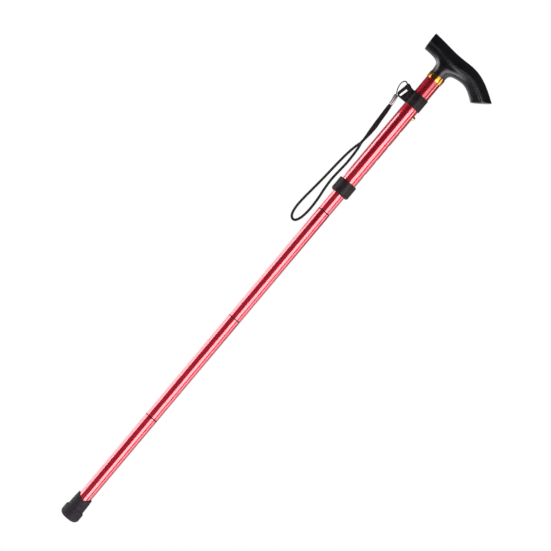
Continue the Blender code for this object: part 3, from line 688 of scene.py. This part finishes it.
def evenly(points, step):
    """The same line with its points about step apart, and its length."""
    runs = np.concatenate(([0], np.cumsum(np.linalg.norm(np.diff(points, axis=0), axis=1))))
    count = max(2, round(runs[-1] / step) + 1)
    where = np.linspace(0, runs[-1], count)
    even = np.stack([np.interp(where, runs, points[:, k]) for k in range(3)], axis=1)
    return even, float(runs[-1])


def braided_rings(line, radius, groove, pitch, strands, facets):
    """Rings along the line, their radius following a diamond braid."""
    steps = np.gradient(line, axis=0)
    steps /= np.linalg.norm(steps, axis=1)[:, None]
    side = np.cross(steps[0], (0, 1, 0))
    side /= np.linalg.norm(side)
    spacing = np.linalg.norm(line[1] - line[0])
    angles = np.arange(facets) * math.tau / facets
    rings = []
    for k, (centre, run) in enumerate(zip(line, steps)):
        side = side - run * np.dot(side, run)
        side /= np.linalg.norm(side)
        other = np.cross(run, side)
        twist = math.pi * k * spacing / pitch
        left = np.abs(np.sin(strands / 2 * angles + twist))
        right = np.abs(np.sin(strands / 2 * angles - twist))
        reach = radius - groove * (1 - (left + right) / 2)
        ring = centre + reach[:, None] * (
            np.cos(angles)[:, None] * side + np.sin(angles)[:, None] * other
        )
        rings.append(ring)
    return rings


# Camera, cords and strap

STRAP_ORIGIN = np.array((-BAND_RADIUS, 0, BAND_TOP))


def place_camera():
    right = Vector((math.cos(VIEW_ROLL), 0, math.sin(VIEW_ROLL)))
    up = Vector((-math.sin(VIEW_ROLL), 0, math.cos(VIEW_ROLL)))
    back = right.cross(up)
    data = bpy.data.cameras.new("camera")
    data.sensor_width = SENSOR_WIDTH
    data.lens = SENSOR_WIDTH * VIEW_DISTANCE / VIEW_WIDTH
    camera = bpy.data.objects.new("camera", data)
    bpy.context.scene.collection.objects.link(camera)
    turn = Matrix((right, up, back)).transposed().to_4x4()
    camera.matrix_world = Matrix.Translation(Vector(VIEW_CENTRE) + VIEW_DISTANCE * back) @ turn
    bpy.context.scene.camera = camera


def strap_cord(name, node, knots, per_span, step, radius, braid):
    """A braided cord through the knots, with its centre line and its length."""
    line, length = evenly(curve_through(knots, per_span) + STRAP_ORIGIN, step)
    mesh = lofted(braided_rings(line, radius, **braid))
    cord = dress(name, mesh, "black_cord", "wrist_strap", [node], sharp=80)
    return cord, line, length


def strap_string():
    """The string doubled: out of the crimp, through the slot and back on its other side."""
    back = [(x, -y, z) for x, y, z in STRING_HALF_ROUTE[-2::-1]]
    knots = [*STRING_HALF_ROUTE, *back]
    name, node = "lanyard_string_braid", "lanyard_string"
    return strap_cord(name, node, knots, 8, STRING_STEP, STRING_RADIUS, STRING_BRAID)


def crimp_axes():
    """The crimp's two ends, its direction and the direction across it."""
    top = np.array((CRIMP_TOP[0], 0, CRIMP_TOP[1])) + STRAP_ORIGIN
    end = np.array((CRIMP_END[0], 0, CRIMP_END[1])) + STRAP_ORIGIN
    run = (end - top) / np.linalg.norm(end - top)
    return top, end, run, np.array((-run[2], 0, run[0]))


def flat_ring(centre, across, half_width, half_depth, count, power):
    """A rounded flat section, across and along Y: an oval at 2, and squarer above."""
    angles = np.arange(count) * math.tau / count
    c, s = np.cos(angles), np.sin(angles)
    wide = half_width * np.sign(c) * np.abs(c) ** (2 / power)
    deep = half_depth * np.sign(s) * np.abs(s) ** (2 / power)
    depth_way = np.array((0, 1, 0))
    return centre + wide[:, None] * across + deep[:, None] * depth_way


def strap_crimp():
    """A pressed sleeve fluted lengthwise, with its ends turned in."""
    top, end, run, across = crimp_axes()
    length = np.linalg.norm(end - top)
    count = CRIMP_RIBS * CRIMP_RIB_POINTS
    rib = 1 - np.abs(np.cos(np.arange(count) * math.pi * CRIMP_RIBS / count))
    rings = []
    turned_in = CRIMP_MOUTH[-1][0]
    far_mouth = [(length - at, inset) for at, inset in reversed(CRIMP_MOUTH)]
    for at, inset in (*CRIMP_MOUTH, (length / 2, 0.0), *far_mouth):
        fluted = CRIMP_RIB if turned_in <= at <= length - turned_in else CRIMP_RIB / 3
        centre = top + run * at
        half_width, half_depth = CRIMP_HALF_WIDTH - inset, CRIMP_HALF_DEPTH - inset
        ring = flat_ring(centre, across, half_width, half_depth, count, CRIMP_SQUARENESS)
        outward = ring - centre
        outward /= np.linalg.norm(outward, axis=1)[:, None]
        rings.append(ring - fluted * rib[:, None] * outward)
    mesh = lofted(rings)
    name, node = "strap_crimp_sleeve", "strap_crimp"
    return dress(name, mesh, "crimp", "wrist_strap", [node], sharp=50)


def strap_webbing():
    """Woven tape that leaves the crimp flat and folds on edge round the loop."""
    _, end, run, across = crimp_axes()
    start = end + run * CRIMP_TO_WEBBING
    rows = []
    for k, (drop, x, half_width, half_depth) in enumerate(WEBBING_SECTIONS):
        spot_x = STRAP_ORIGIN[0] + x if k else start[0]
        lean = across if k == 0 else (1, 0, 0)
        rows.append((spot_x, start[2] - drop, half_width, half_depth, lean[0], lean[2]))
    rings, line = [], []
    for x, z, half_width, half_depth, lean_x, lean_z in curve_through(rows, 12):
        lean = np.array((lean_x, 0, lean_z))
        centre = np.array((x, 0, z))
        line.append(centre)
        lean /= np.linalg.norm(lean)
        section = (half_width, half_depth, WEBBING_POINTS, WEBBING_SQUARENESS)
        rings.append(flat_ring(centre, lean, *section))
    mesh = lofted(rings)
    tape = dress("strap_webbing_tape", mesh, "webbing", "wrist_strap", ["strap_webbing"], sharp=60)
    line = np.array(line)
    return tape, line, float(np.linalg.norm(np.diff(line, axis=0), axis=1).sum())


def strap_loop():
    name, node = "strap_loop_braid", "strap_loop"
    return strap_cord(name, node, LOOP_ROUTE, 12, LOOP_STEP, LOOP_RADIUS, LOOP_BRAID)


def build_strap():
    string, string_line, string_length = strap_string()
    sleeve = strap_crimp()
    tape, tape_line, tape_length = strap_webbing()
    loop, loop_line, loop_length = strap_loop()


# Elastic cord at the folding joints


def even_share(share):
    """Where a smooth step from 0 to 1 reaches share."""
    return 0.5 - math.sin(math.asin(1 - 2 * share) / 3)


def cord_span(name, high, low, waist, steps):
    """A stretch of cord, of radius waist between its ends, with rings that stay even in a blend."""
    profile = []
    for k in range(steps + 1):
        share = k / steps
        z = high + (low - high) * even_share(share)
        ease = math.sin(math.pi * share) ** 0.5 if 0 < share < 1 else 0.0
        profile.append((CORD_RADIUS + (waist - CORD_RADIUS) * ease, z))
    mesh = turned([(0, high), *profile, (0, low)], CORD_FACETS)
    return dress(name, mesh, "black_cord", None, sharp=60)


def build_elastic(number):
    """Cord that a pull draws out of the nose, and its bend between the nose and the next tube."""
    above, link, below = JOINTS[number - 1]
    link_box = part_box(f"elastic_link_{number}")
    low, high = link_box[0].z, link_box[1].z
    stretch = cord_span(f"elastic_pull_{number}", high, low, CORD_RADIUS, PULL_RINGS)
    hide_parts(f"elastic_link_{number}")
    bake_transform(stretch)
    bend = cord_span(f"elastic_bend_{number}", low, low - GAP, BEND_CORD_RADIUS, BEND_RINGS)
    ends = [(link, (0, 0, low)), (below, (0, 0, low - GAP))]
    if number in FOLDS_BACK:
        ends.reverse()
    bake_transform(bend)


# Handle end


def interpolating_ring(targets):
    """The cage points whose smoothed ring passes through the targets."""
    own, beside = 4 / 6, 1 / 6
    count = len(targets)
    weights = np.zeros((count, count))
    for k in range(count):
        weights[k, k] = own
        weights[k, (k + 1) % count] = beside
        weights[k, (k - 1) % count] = beside
    return np.linalg.solve(weights, np.array(targets))


def handle_ring(station):
    """A section of the bar, from its top line down the front and up the back."""
    top_x, top_z, low_x, low_z, half = HANDLE_STATIONS[station]
    top, low = np.array((top_x, 0, top_z)), np.array((low_x, 0, low_z))
    widths = (0.0, SHOULDER_SHARE, 1.0, SCOOP_SHARES[station], UNDERSIDE_SHARES[station], 0.0)
    side = [
        low + (top - low) * level + np.array((0, -half * width, 0))
        for width, level in zip(widths, SECTION_LEVELS)
    ]
    mirrored = [point * (1, -1, 1) for point in side[-2:0:-1]]
    return interpolating_ring(side + mirrored)


def neck_ring(level, radius):
    spots = []
    for k in range(NECK_SIDES):
        angle = math.pi + k * math.tau / NECK_SIDES
        spots.append((radius * math.cos(angle), radius * math.sin(angle), level))
    return interpolating_ring(spots)


def close_end(bm, crease, rim, inner):
    """A slightly domed end face on the rim, whose edge keeps a small rounding."""
    centre = sum((vertex.co for vertex in rim), Vector()) / len(rim)
    away = (centre - sum((vertex.co for vertex in inner), Vector()) / len(inner)).normalized()
    dome = [
        bm.verts.new(centre + (vertex.co - centre) * END_INSET + away * END_DOME) for vertex in rim
    ]
    for k, vertex in enumerate(rim):
        ahead = (k + 1) % len(rim)
        bm.faces.new((vertex, rim[ahead], dome[ahead], dome[k]))
        bm.edges.get((vertex, rim[ahead]))[crease] = END_CREASE
    bm.faces.new(dome)


def build_grip():
    """The grip: a cage of sections with the neck drawn out of its underside, smoothed."""
    bm = bmesh.new()
    crease = bm.edges.layers.float.new("crease_edge")
    bar = [[bm.verts.new(p) for p in handle_ring(k)] for k in range(len(HANDLE_STATIONS))]
    first, middle, last = NECK_STATIONS
    count = len(bar[0])
    base = count // 2
    for station, (left, right) in enumerate(zip(bar, bar[1:])):
        for k in range(count):
            if first <= station < last and k in (base - 1, base):
                continue
            bm.faces.new((left[k], left[(k + 1) % count], right[(k + 1) % count], right[k]))
        for k in (WIDEST_ROW, count - WIDEST_ROW):
            bm.edges.get((left[k], right[k]))[crease] = RIDGE_CREASE
    for rim, inner_way in ((bar[0], bar[1]), (bar[-1], bar[-2])):
        close_end(bm, crease, rim, inner_way)
    upper = [bar[first][base], bar[first][base - 1], bar[middle][base - 1], bar[last][base - 1]]
    upper += [bar[last][base], bar[last][base + 1], bar[middle][base + 1], bar[first][base + 1]]
    for level, proud in NECK_FLARE:
        lower = [bm.verts.new(p) for p in neck_ring(level, OUTER_RADIUS + proud)]
        for k in range(NECK_SIDES):
            ahead = (k + 1) % NECK_SIDES
            bm.faces.new((upper[k], upper[ahead], lower[ahead], lower[k]))
        upper = lower
    foot = bm.faces.new(upper)
    bmesh.ops.delete(bm, geom=[bar[middle][base]], context="VERTS")
    for edge in foot.edges:
        edge[crease] = 1.0
    mesh = baked(mesh_from(bm), ("SUBSURF", {"levels": HANDLE_SMOOTHING}))
    mesh.transform(Matrix.Translation((0, 0, HANDLE_FOOT)))
    name, node = "handle_grip_shell", "handle_grip"
    dress(name, mesh, "handle_plastic", "upper_section", [node], sharp=75)


def build_gold_ring():
    low, high = GOLD_RING
    top = HANDLE_FOOT + GAP
    mesh = turned(sleeve_profile(high.x, OUTER_RADIUS + GAP, low.z, top, GOLD_EDGE))
    dress("gold_ring_band", mesh, "gold", "upper_section", ["gold_ring"])


def hole_cutter(radius, surface, depth):
    """A drill along +X that also breaks the hole's edge where it meets the surface."""
    mesh = turned(
        [
            (0, surface + depth),
            (radius + 3 * HOLE_EDGE, surface + depth),
            (radius + HOLE_EDGE, surface),
            (radius, surface - HOLE_EDGE),
            (radius, surface - depth),
            (0, surface - depth),
        ],
        SMALL_FACETS,
    )
    mesh.transform(along_x())
    return mesh


def build_outer_tube():
    low, high = OUTER_TUBE
    bore = TUBE_RADIUS + GAP
    profile = sleeve_profile(OUTER_RADIUS, bore, low.z, high.z, TUBE_LIP)
    cutters = []
    for k in range(HOLE_COUNT):
        cutter = hole_cutter(HOLE_RADIUS, OUTER_RADIUS, 2 * TUBE_WALL)
        cutter.transform(Matrix.Translation((0, 0, HOLE_TOP - k * HOLE_PITCH)))
        cutters.append(cutter)
    mesh = cut(turned(profile), cutters)
    dress("outer_tube_shell", mesh, "red_anodised", "upper_section", ["outer_tube"])


def moved_left(loop, distance):
    """The closed line of (x, z) points moved to the left of its own direction."""
    result = []
    for k, (x, z) in enumerate(loop):
        ahead, behind = Vector(loop[(k + 1) % len(loop)]), Vector(loop[k - 1])
        run = (ahead - behind).normalized()
        result.append((x - distance * run.y, z + distance * run.x))
    return result


def plate(outline, hole, thickness, edge):
    """An upright plate with a hole, both lines running with the material on their left."""
    bm = bmesh.new()
    levels = []
    for step in range(LUG_EDGE_STEPS + 1):
        angle = math.pi / 2 * step / LUG_EDGE_STEPS
        depth = thickness / 2 - edge * (1 - math.cos(angle))
        levels.append((edge * (1 - math.sin(angle)), depth))
    layers = [(inset, -depth) for inset, depth in levels] + levels[::-1]
    faces = ([], [])
    for loop in (outline, hole):
        rows = []
        for inset, y in layers:
            rows.append([bm.verts.new((x, y, z)) for x, z in moved_left(loop, inset)])
        for near, far in zip(rows, rows[1:]):
            for k in range(len(loop)):
                ahead = (k + 1) % len(loop)
                bm.faces.new((near[k], near[ahead], far[ahead], far[k]))
        for side, row in zip(faces, (rows[0], rows[-1])):
            side += [bm.edges.get(pair) for pair in zip(row, row[1:] + row[:1])]
    for side in faces:
        bmesh.ops.triangle_fill(bm, use_beauty=True, edges=side)
    return mesh_from(bm)


def build_band():
    """The moulded ring and the slotted lug that takes the string."""
    bore = OUTER_RADIUS + GAP
    ring = turned(sleeve_profile(BAND_RADIUS, bore, BAND[0].z, BAND_TOP, BAND_EDGE))
    dress("strap_band_ring", ring, "moulded_plastic", "upper_section", ["strap_band"])

    outline = rounded(LUG_OUTLINE, LUG_CORNERS)
    (top_x, top_z), (low_x, low_z) = SLOT_TOP, SLOT_BOTTOM
    lean = math.atan2(top_x - low_x, top_z - low_z)
    half = SLOT_WIDTH / 2
    slot = []
    for x, z, start in ((top_x, top_z, 0), (low_x, low_z, math.pi)):
        for step in range(SLOT_END_STEPS + 1):
            angle = start - lean + math.pi * step / SLOT_END_STEPS
            slot.append((x + half * math.cos(angle), z + half * math.sin(angle)))
    mesh = plate(outline, slot[::-1], LUG_THICKNESS, LUG_EDGE)
    mesh.transform(Matrix.Translation(STRAP_ORIGIN))
    dress("strap_band_lug", mesh, "moulded_plastic", "upper_section", sharp=50)


# Height adjustment


def build_collar():
    """The locking nut: a barrel with a soft top edge and a chamfered foot.

    The two rows on its straight side keep the shading of the edges away from the middle.
    """
    low, high = COLLAR
    radius, bore, mouth = high.x, high.x - COLLAR_WALL, TUBE_RADIUS + GAP
    edge_in, edge_down = COLLAR_TOP_EDGE
    row_down, row_up = COLLAR_ROWS
    corners = [
        (radius - edge_in, high.z),
        (radius, high.z - edge_down),
        (radius, high.z - row_down),
        (radius, low.z + row_up),
        (radius, low.z + COLLAR_CHAMFER),
        (radius - COLLAR_CHAMFER, low.z),
        (mouth, low.z),
        (mouth, low.z + COLLAR_FLOOR),
        (bore, low.z + COLLAR_FLOOR),
        (bore, high.z),
    ]
    rounding = [0.0002, 0.0006, 0, 0, 0.0008, 0.0008, 0.0003, 0, 0, 0.0002]
    mesh = turned(rounded(corners, rounding), COLLAR_FACETS)
    dress("locking_collar_nut", mesh, "moulded_plastic", "locking_collar", ["locking_collar"])


def spring_path():
    """The spring's outer face in x and z, from the free arm round the bend to the fixed one."""
    path = [(SPRING_REACH, SPRING_ABOVE_BUTTON), (SPRING_REACH, -SPRING_ABOVE_BUTTON)]
    bend = SPRING_REACH / 2
    for step in range(SPRING_BEND_STEPS + 1):
        angle = -math.pi * step / SPRING_BEND_STEPS
        z = -SPRING_BELOW_BUTTON + SPRING_REACH / 2 + bend * math.sin(angle)
        path.append((bend * math.cos(angle), z))
    path.append((-SPRING_REACH, SPRING_ABOVE_BUTTON / 2))
    return [np.array(point) for point in path]


def build_button():
    """The round button riveted to a bent leaf spring that closes as it is pressed."""
    corners = spring_path()
    path = [*curve_through(corners[:2], 8).tolist(), *curve_through(corners[2:], 4).tolist()]
    rings = []
    for k, point in enumerate(path):
        ahead = np.array(path[min(k + 1, len(path) - 1)])
        behind = np.array(path[max(k - 1, 0)])
        run = (ahead - behind) / np.linalg.norm(ahead - behind)
        inward = np.array((run[1], -run[0])) * SPRING_THICKNESS
        face, inner = np.array(point), np.array(point) + inward
        half = SPRING_WIDTH / 2
        edge = SPRING_THICKNESS / 4
        spots = ((face, -half + edge), (inner, -half), (inner, half), (face, half - edge))
        rings.append([(x, y, z) for (x, z), y in spots])
    spring = lofted(rings)
    spring.transform(Matrix.Translation((0, 0, HOLE_TOP)))
    strip = dress("snap_spring", spring, "steel", None, ["snap_button"], sharp=40)
    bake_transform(strip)
    tip = BUTTON[1].x
    root = SPRING_REACH - SPRING_THICKNESS / 2
    profile = [(0, tip)]
    for step in range(1, DOME_STEPS + 1):
        angle = math.pi / 2 * step / DOME_STEPS
        level = tip - BUTTON_DOME * (1 - math.cos(angle))
        profile.append((BUTTON_RADIUS * math.sin(angle), level))
    profile += [(BUTTON_RADIUS, root), (0, root)]
    head = turned(profile, SMALL_FACETS)
    head.transform(along_x())
    head.transform(Matrix.Translation((0, 0, HOLE_TOP)))
    dress("snap_button_head", head, "steel", "snap_button", finish="passivated")


def build_tube(node, name, body, holes=()):
    low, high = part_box(node)
    profile = sleeve_profile(TUBE_RADIUS, TUBE_RADIUS - TUBE_WALL, low.z, high.z, TUBE_LIP)
    mesh = turned(profile)
    if holes:
        mesh = cut(mesh, holes)
    dress(name, mesh, "red_anodised", body, [node])


def build_shaft():
    drill = hole_cutter(HOLE_RADIUS, TUBE_RADIUS, 2 * TUBE_WALL)
    drill.transform(Matrix.Translation((0, 0, HOLE_TOP)))
    build_tube("inner_tube", "inner_tube_shell", "inner_section", [drill])
    for number in (2, 3, 4):
        build_tube(f"tube_{number}", f"tube_{number}_shell", f"section_{number}")


# Tip


def build_ferrule():
    """Crowned foot with ring treads, a neck, and a rim that dips at the front and back."""
    radius, height = FERRULE[1].x, FERRULE[1].z
    profile = [(0, 0), (TREAD_RADII[0], 0), (TREAD_RADII[0], TREAD_DEPTH)]
    profile += [(TREAD_RADII[1], TREAD_DEPTH), (TREAD_RADII[1], 0)]
    for step in range(CROWN_STEPS + 1):
        angle = math.pi / 2 * step / CROWN_STEPS
        reach = FERRULE_FLAT + (radius - FERRULE_FLAT) * math.sin(angle)
        level = FERRULE_CROWN * (1 - math.cos(angle))
        groove = CROWN_GROOVE_DEPTH if step in CROWN_GROOVES else 0.0
        profile.append((reach - groove * math.sin(angle), level + groove * math.cos(angle)))
    shoulder = FERRULE_FOOT_HEIGHT - FERRULE_STEP / 2
    neck = FERRULE_BORE + FERRULE_NECK_WALL
    neck_level = FERRULE_FOOT_HEIGHT + FERRULE_STEP / 2
    corners = [
        (radius, FERRULE_CROWN + 0.0004),
        (radius, shoulder),
        (radius - FERRULE_STEP / 6, FERRULE_FOOT_HEIGHT),
        (neck, neck_level),
        (neck, neck_level + 0.002),
    ]
    profile += rounded(corners, [0, 0.001, 0.001, 0.002, 0], closed=False)
    for share in np.linspace(*FERRULE_NECK_SHARES, FERRULE_NECK_ROWS):
        level = neck_level + (height - neck_level) * share
        narrowing = (FERRULE_NECK_WALL - FERRULE_RIM_WALL) * share**2
        profile.append((neck - narrowing, level))
    rim = FERRULE_BORE + FERRULE_RIM_WALL
    lip = [
        (rim, height - 0.0004),
        (rim, height),
        (FERRULE_BORE, height),
        (FERRULE_BORE, height - 0.001),
    ]
    profile += rounded(lip, [0, 0.0003, 0.0002, 0], 3, closed=False)
    profile += [(FERRULE_BORE, FERRULE_FLOOR), (0, FERRULE_FLOOR)]
    mesh = turned(profile)
    for vertex in mesh.vertices:
        above = (vertex.co.z - neck_level) / (height - neck_level)
        if above > 0:
            toward_y = vertex.co.y / math.hypot(vertex.co.x, vertex.co.y)
            vertex.co.z -= FERRULE_RIM_DIP * above * toward_y**2
    dress("ferrule_foot", mesh, "rubber", "section_4", ["rubber_ferrule"], sharp=40)


# Stage and lights

LAMP_DISTANCE = 0.75
LAMP_FOOT = -0.15
# The floor lies below the tip with the shaft at its longest and all three joints pulled
FLOOR_DEPTH = -0.165
FLOOR_RADIUS = 1.6
FLOOR_FACETS = 96
FLOOR_GREY = 0.60
FLOOR_ROUGHNESS = 0.9
# The floor's own glow under the object: how much it takes over from the lit floor, and how
# bright it is. Both run to 1 over these distances from the object.
FLOOR_GLOW = 0.8
FLOOR_LEVEL = 1.16
FLOOR_FADE = (0.15, 0.9)
# Where the white sweep starts and is full: behind the object on the floor, in the world by
# its direction, and below the horizon
FLOOR_BEHIND = (-0.3, 0.5)
SWEEP_BEHIND = (-0.2, 0.5)
SWEEP_BELOW = (0.15, -0.05)
SWEEP_LIGHT = 0.6
ROOM_LIGHT = 0.05


def lamp(name, place, turn, width, tall, radiance):
    """A rectangular lamp that shines along its own -Z and isn't seen by the camera."""
    data = bpy.data.lights.new(name, "AREA")
    data.shape = "RECTANGLE"
    data.size, data.size_y = width, tall
    data.energy = radiance * math.pi * width * tall
    light = bpy.data.objects.new(name, data)
    bpy.context.scene.collection.objects.link(light)
    light.location = place
    light.rotation_euler = turn
    light.visible_camera = False


def softbox(name, azimuth, spread, low, high, radiance):
    """An upright lamp at an azimuth, 0 in front of the cane and 90 on its +X side, in degrees."""
    angle = math.radians(azimuth)
    place = (LAMP_DISTANCE * math.sin(angle), -LAMP_DISTANCE * math.cos(angle), (low + high) / 2)
    width = 2 * LAMP_DISTANCE * math.tan(math.radians(spread) / 2)
    lamp(name, place, (math.radians(90), 0, angle), width, high - low, radiance)


def build_lights():
    softbox("left_box", -84, 28, LAMP_FOOT, 0.77, 5.5)
    softbox("left_back_box", -125, 46, LAMP_FOOT, 0.60, 2.4)
    softbox("right_box", 32, 40, LAMP_FOOT, 0.81, 5.5)
    softbox("right_top_box", 32, 40, 0.81, 0.94, 2.1)
    softbox("right_side_box", 84, 22, LAMP_FOOT, 0.94, 3.4)
    softbox("front_fill", -30, 36, LAMP_FOOT, 0.60, 0.10)
    lamp("overhead", (0, 0, 2.0), (0, 0, 0), 1.6, 1.6, 0.1)


def seen_directly(tree, path):
    """1 for what the camera sees, also through a clear piece."""
    camera, through = path.outputs["Is Camera Ray"], path.outputs["Is Transmission Ray"]
    return maths(tree, "MAXIMUM", camera, through)


def build_world():
    """A white sweep behind and below the object, white all round for the camera, in a dim room."""
    world = bpy.data.worlds.new("studio")
    bpy.context.scene.world = world
    world.use_nodes = True
    tree = world.node_tree
    way = axes(tree, "Generated")
    behind = smooth_share(tree, way["Y"], *SWEEP_BEHIND)
    below = smooth_share(tree, way["Z"], *SWEEP_BELOW)
    sweep = maths(tree, "MULTIPLY", behind, below)
    path = tree.nodes.new("ShaderNodeLightPath")
    mirrored = maths(tree, "MULTIPLY", sweep, path.outputs["Is Glossy Ray"])
    lit = maths(tree, "MAXIMUM", mirrored, maths(tree, "MULTIPLY", sweep, SWEEP_LIGHT))
    room = maths(tree, "MAXIMUM", lit, ROOM_LIGHT)
    strength = maths(tree, "MAXIMUM", room, seen_directly(tree, path))
    back = tree.nodes["Background"]
    back.inputs["Color"].default_value = (1, 1, 1, 1)
    tree.links.new(strength, back.inputs["Strength"])


def build_floor():
    """A pale floor, white to the camera and in reflections except for the object's shadow."""
    bm = bmesh.new()
    bmesh.ops.create_circle(bm, cap_ends=True, segments=FLOOR_FACETS, radius=FLOOR_RADIUS)
    mesh = mesh_from(bm)
    material, tree, shader = blank_finish("floor_finish", [FLOOR_GREY] * 3, FLOOR_ROUGHNESS)
    glow = tree.nodes.new("ShaderNodeEmission")
    path = tree.nodes.new("ShaderNodeLightPath")
    behind = smooth_share(tree, axes(tree)["Y"], *FLOOR_BEHIND)
    mirrored = maths(tree, "MULTIPLY", behind, path.outputs["Is Glossy Ray"])
    seen = maths(tree, "MAXIMUM", seen_directly(tree, path), mirrored)
    place = tree.nodes.new("ShaderNodeTexCoord")
    reach = tree.nodes.new("ShaderNodeVectorMath")
    reach.operation = "LENGTH"
    tree.links.new(place.outputs["Object"], reach.inputs[0])
    away = smooth_share(tree, reach.outputs["Value"], *FLOOR_FADE)
    fade = ramp(tree, away, FLOOR_GLOW, 1.0, 0.0, 1.0)
    share = maths(tree, "MULTIPLY", seen, fade)
    level = ramp(tree, away, FLOOR_LEVEL, 1.0, 0.0, 1.0)
    tree.links.new(level, glow.inputs["Strength"])
    mix = tree.nodes.new("ShaderNodeMixShader")
    tree.links.new(share, mix.inputs["Fac"])
    tree.links.new(shader.outputs["BSDF"], mix.inputs[1])
    tree.links.new(glow.outputs["Emission"], mix.inputs[2])
    tree.links.new(mix.outputs["Shader"], tree.nodes["Material Output"].inputs["Surface"])
    mesh.materials.append(material)
    floor = bpy.data.objects.new("floor", mesh)
    floor.location.z = FLOOR_DEPTH
    bpy.context.scene.collection.objects.link(floor)


def finish_nodes():
    """The CAD nodes that stay get the same finishes as the pieces made here."""
    slots = {part["node"]: part["material_slot"] for part in frame["record"]["subparts"]}
    for name, node in frame["nodes"].items():
        for slot in node.material_slots:
            slot.material = FINISHES[slots[name]]


place_camera()
build_strap()
finish_nodes()
for joint_number in (1, 2, 3):
    build_elastic(joint_number)
build_grip()
build_gold_ring()
build_outer_tube()
build_band()
build_collar()
build_button()
build_shaft()
build_ferrule()
build_floor()
build_lights()
build_world()
bpy.context.scene.view_settings.view_transform = "Standard"
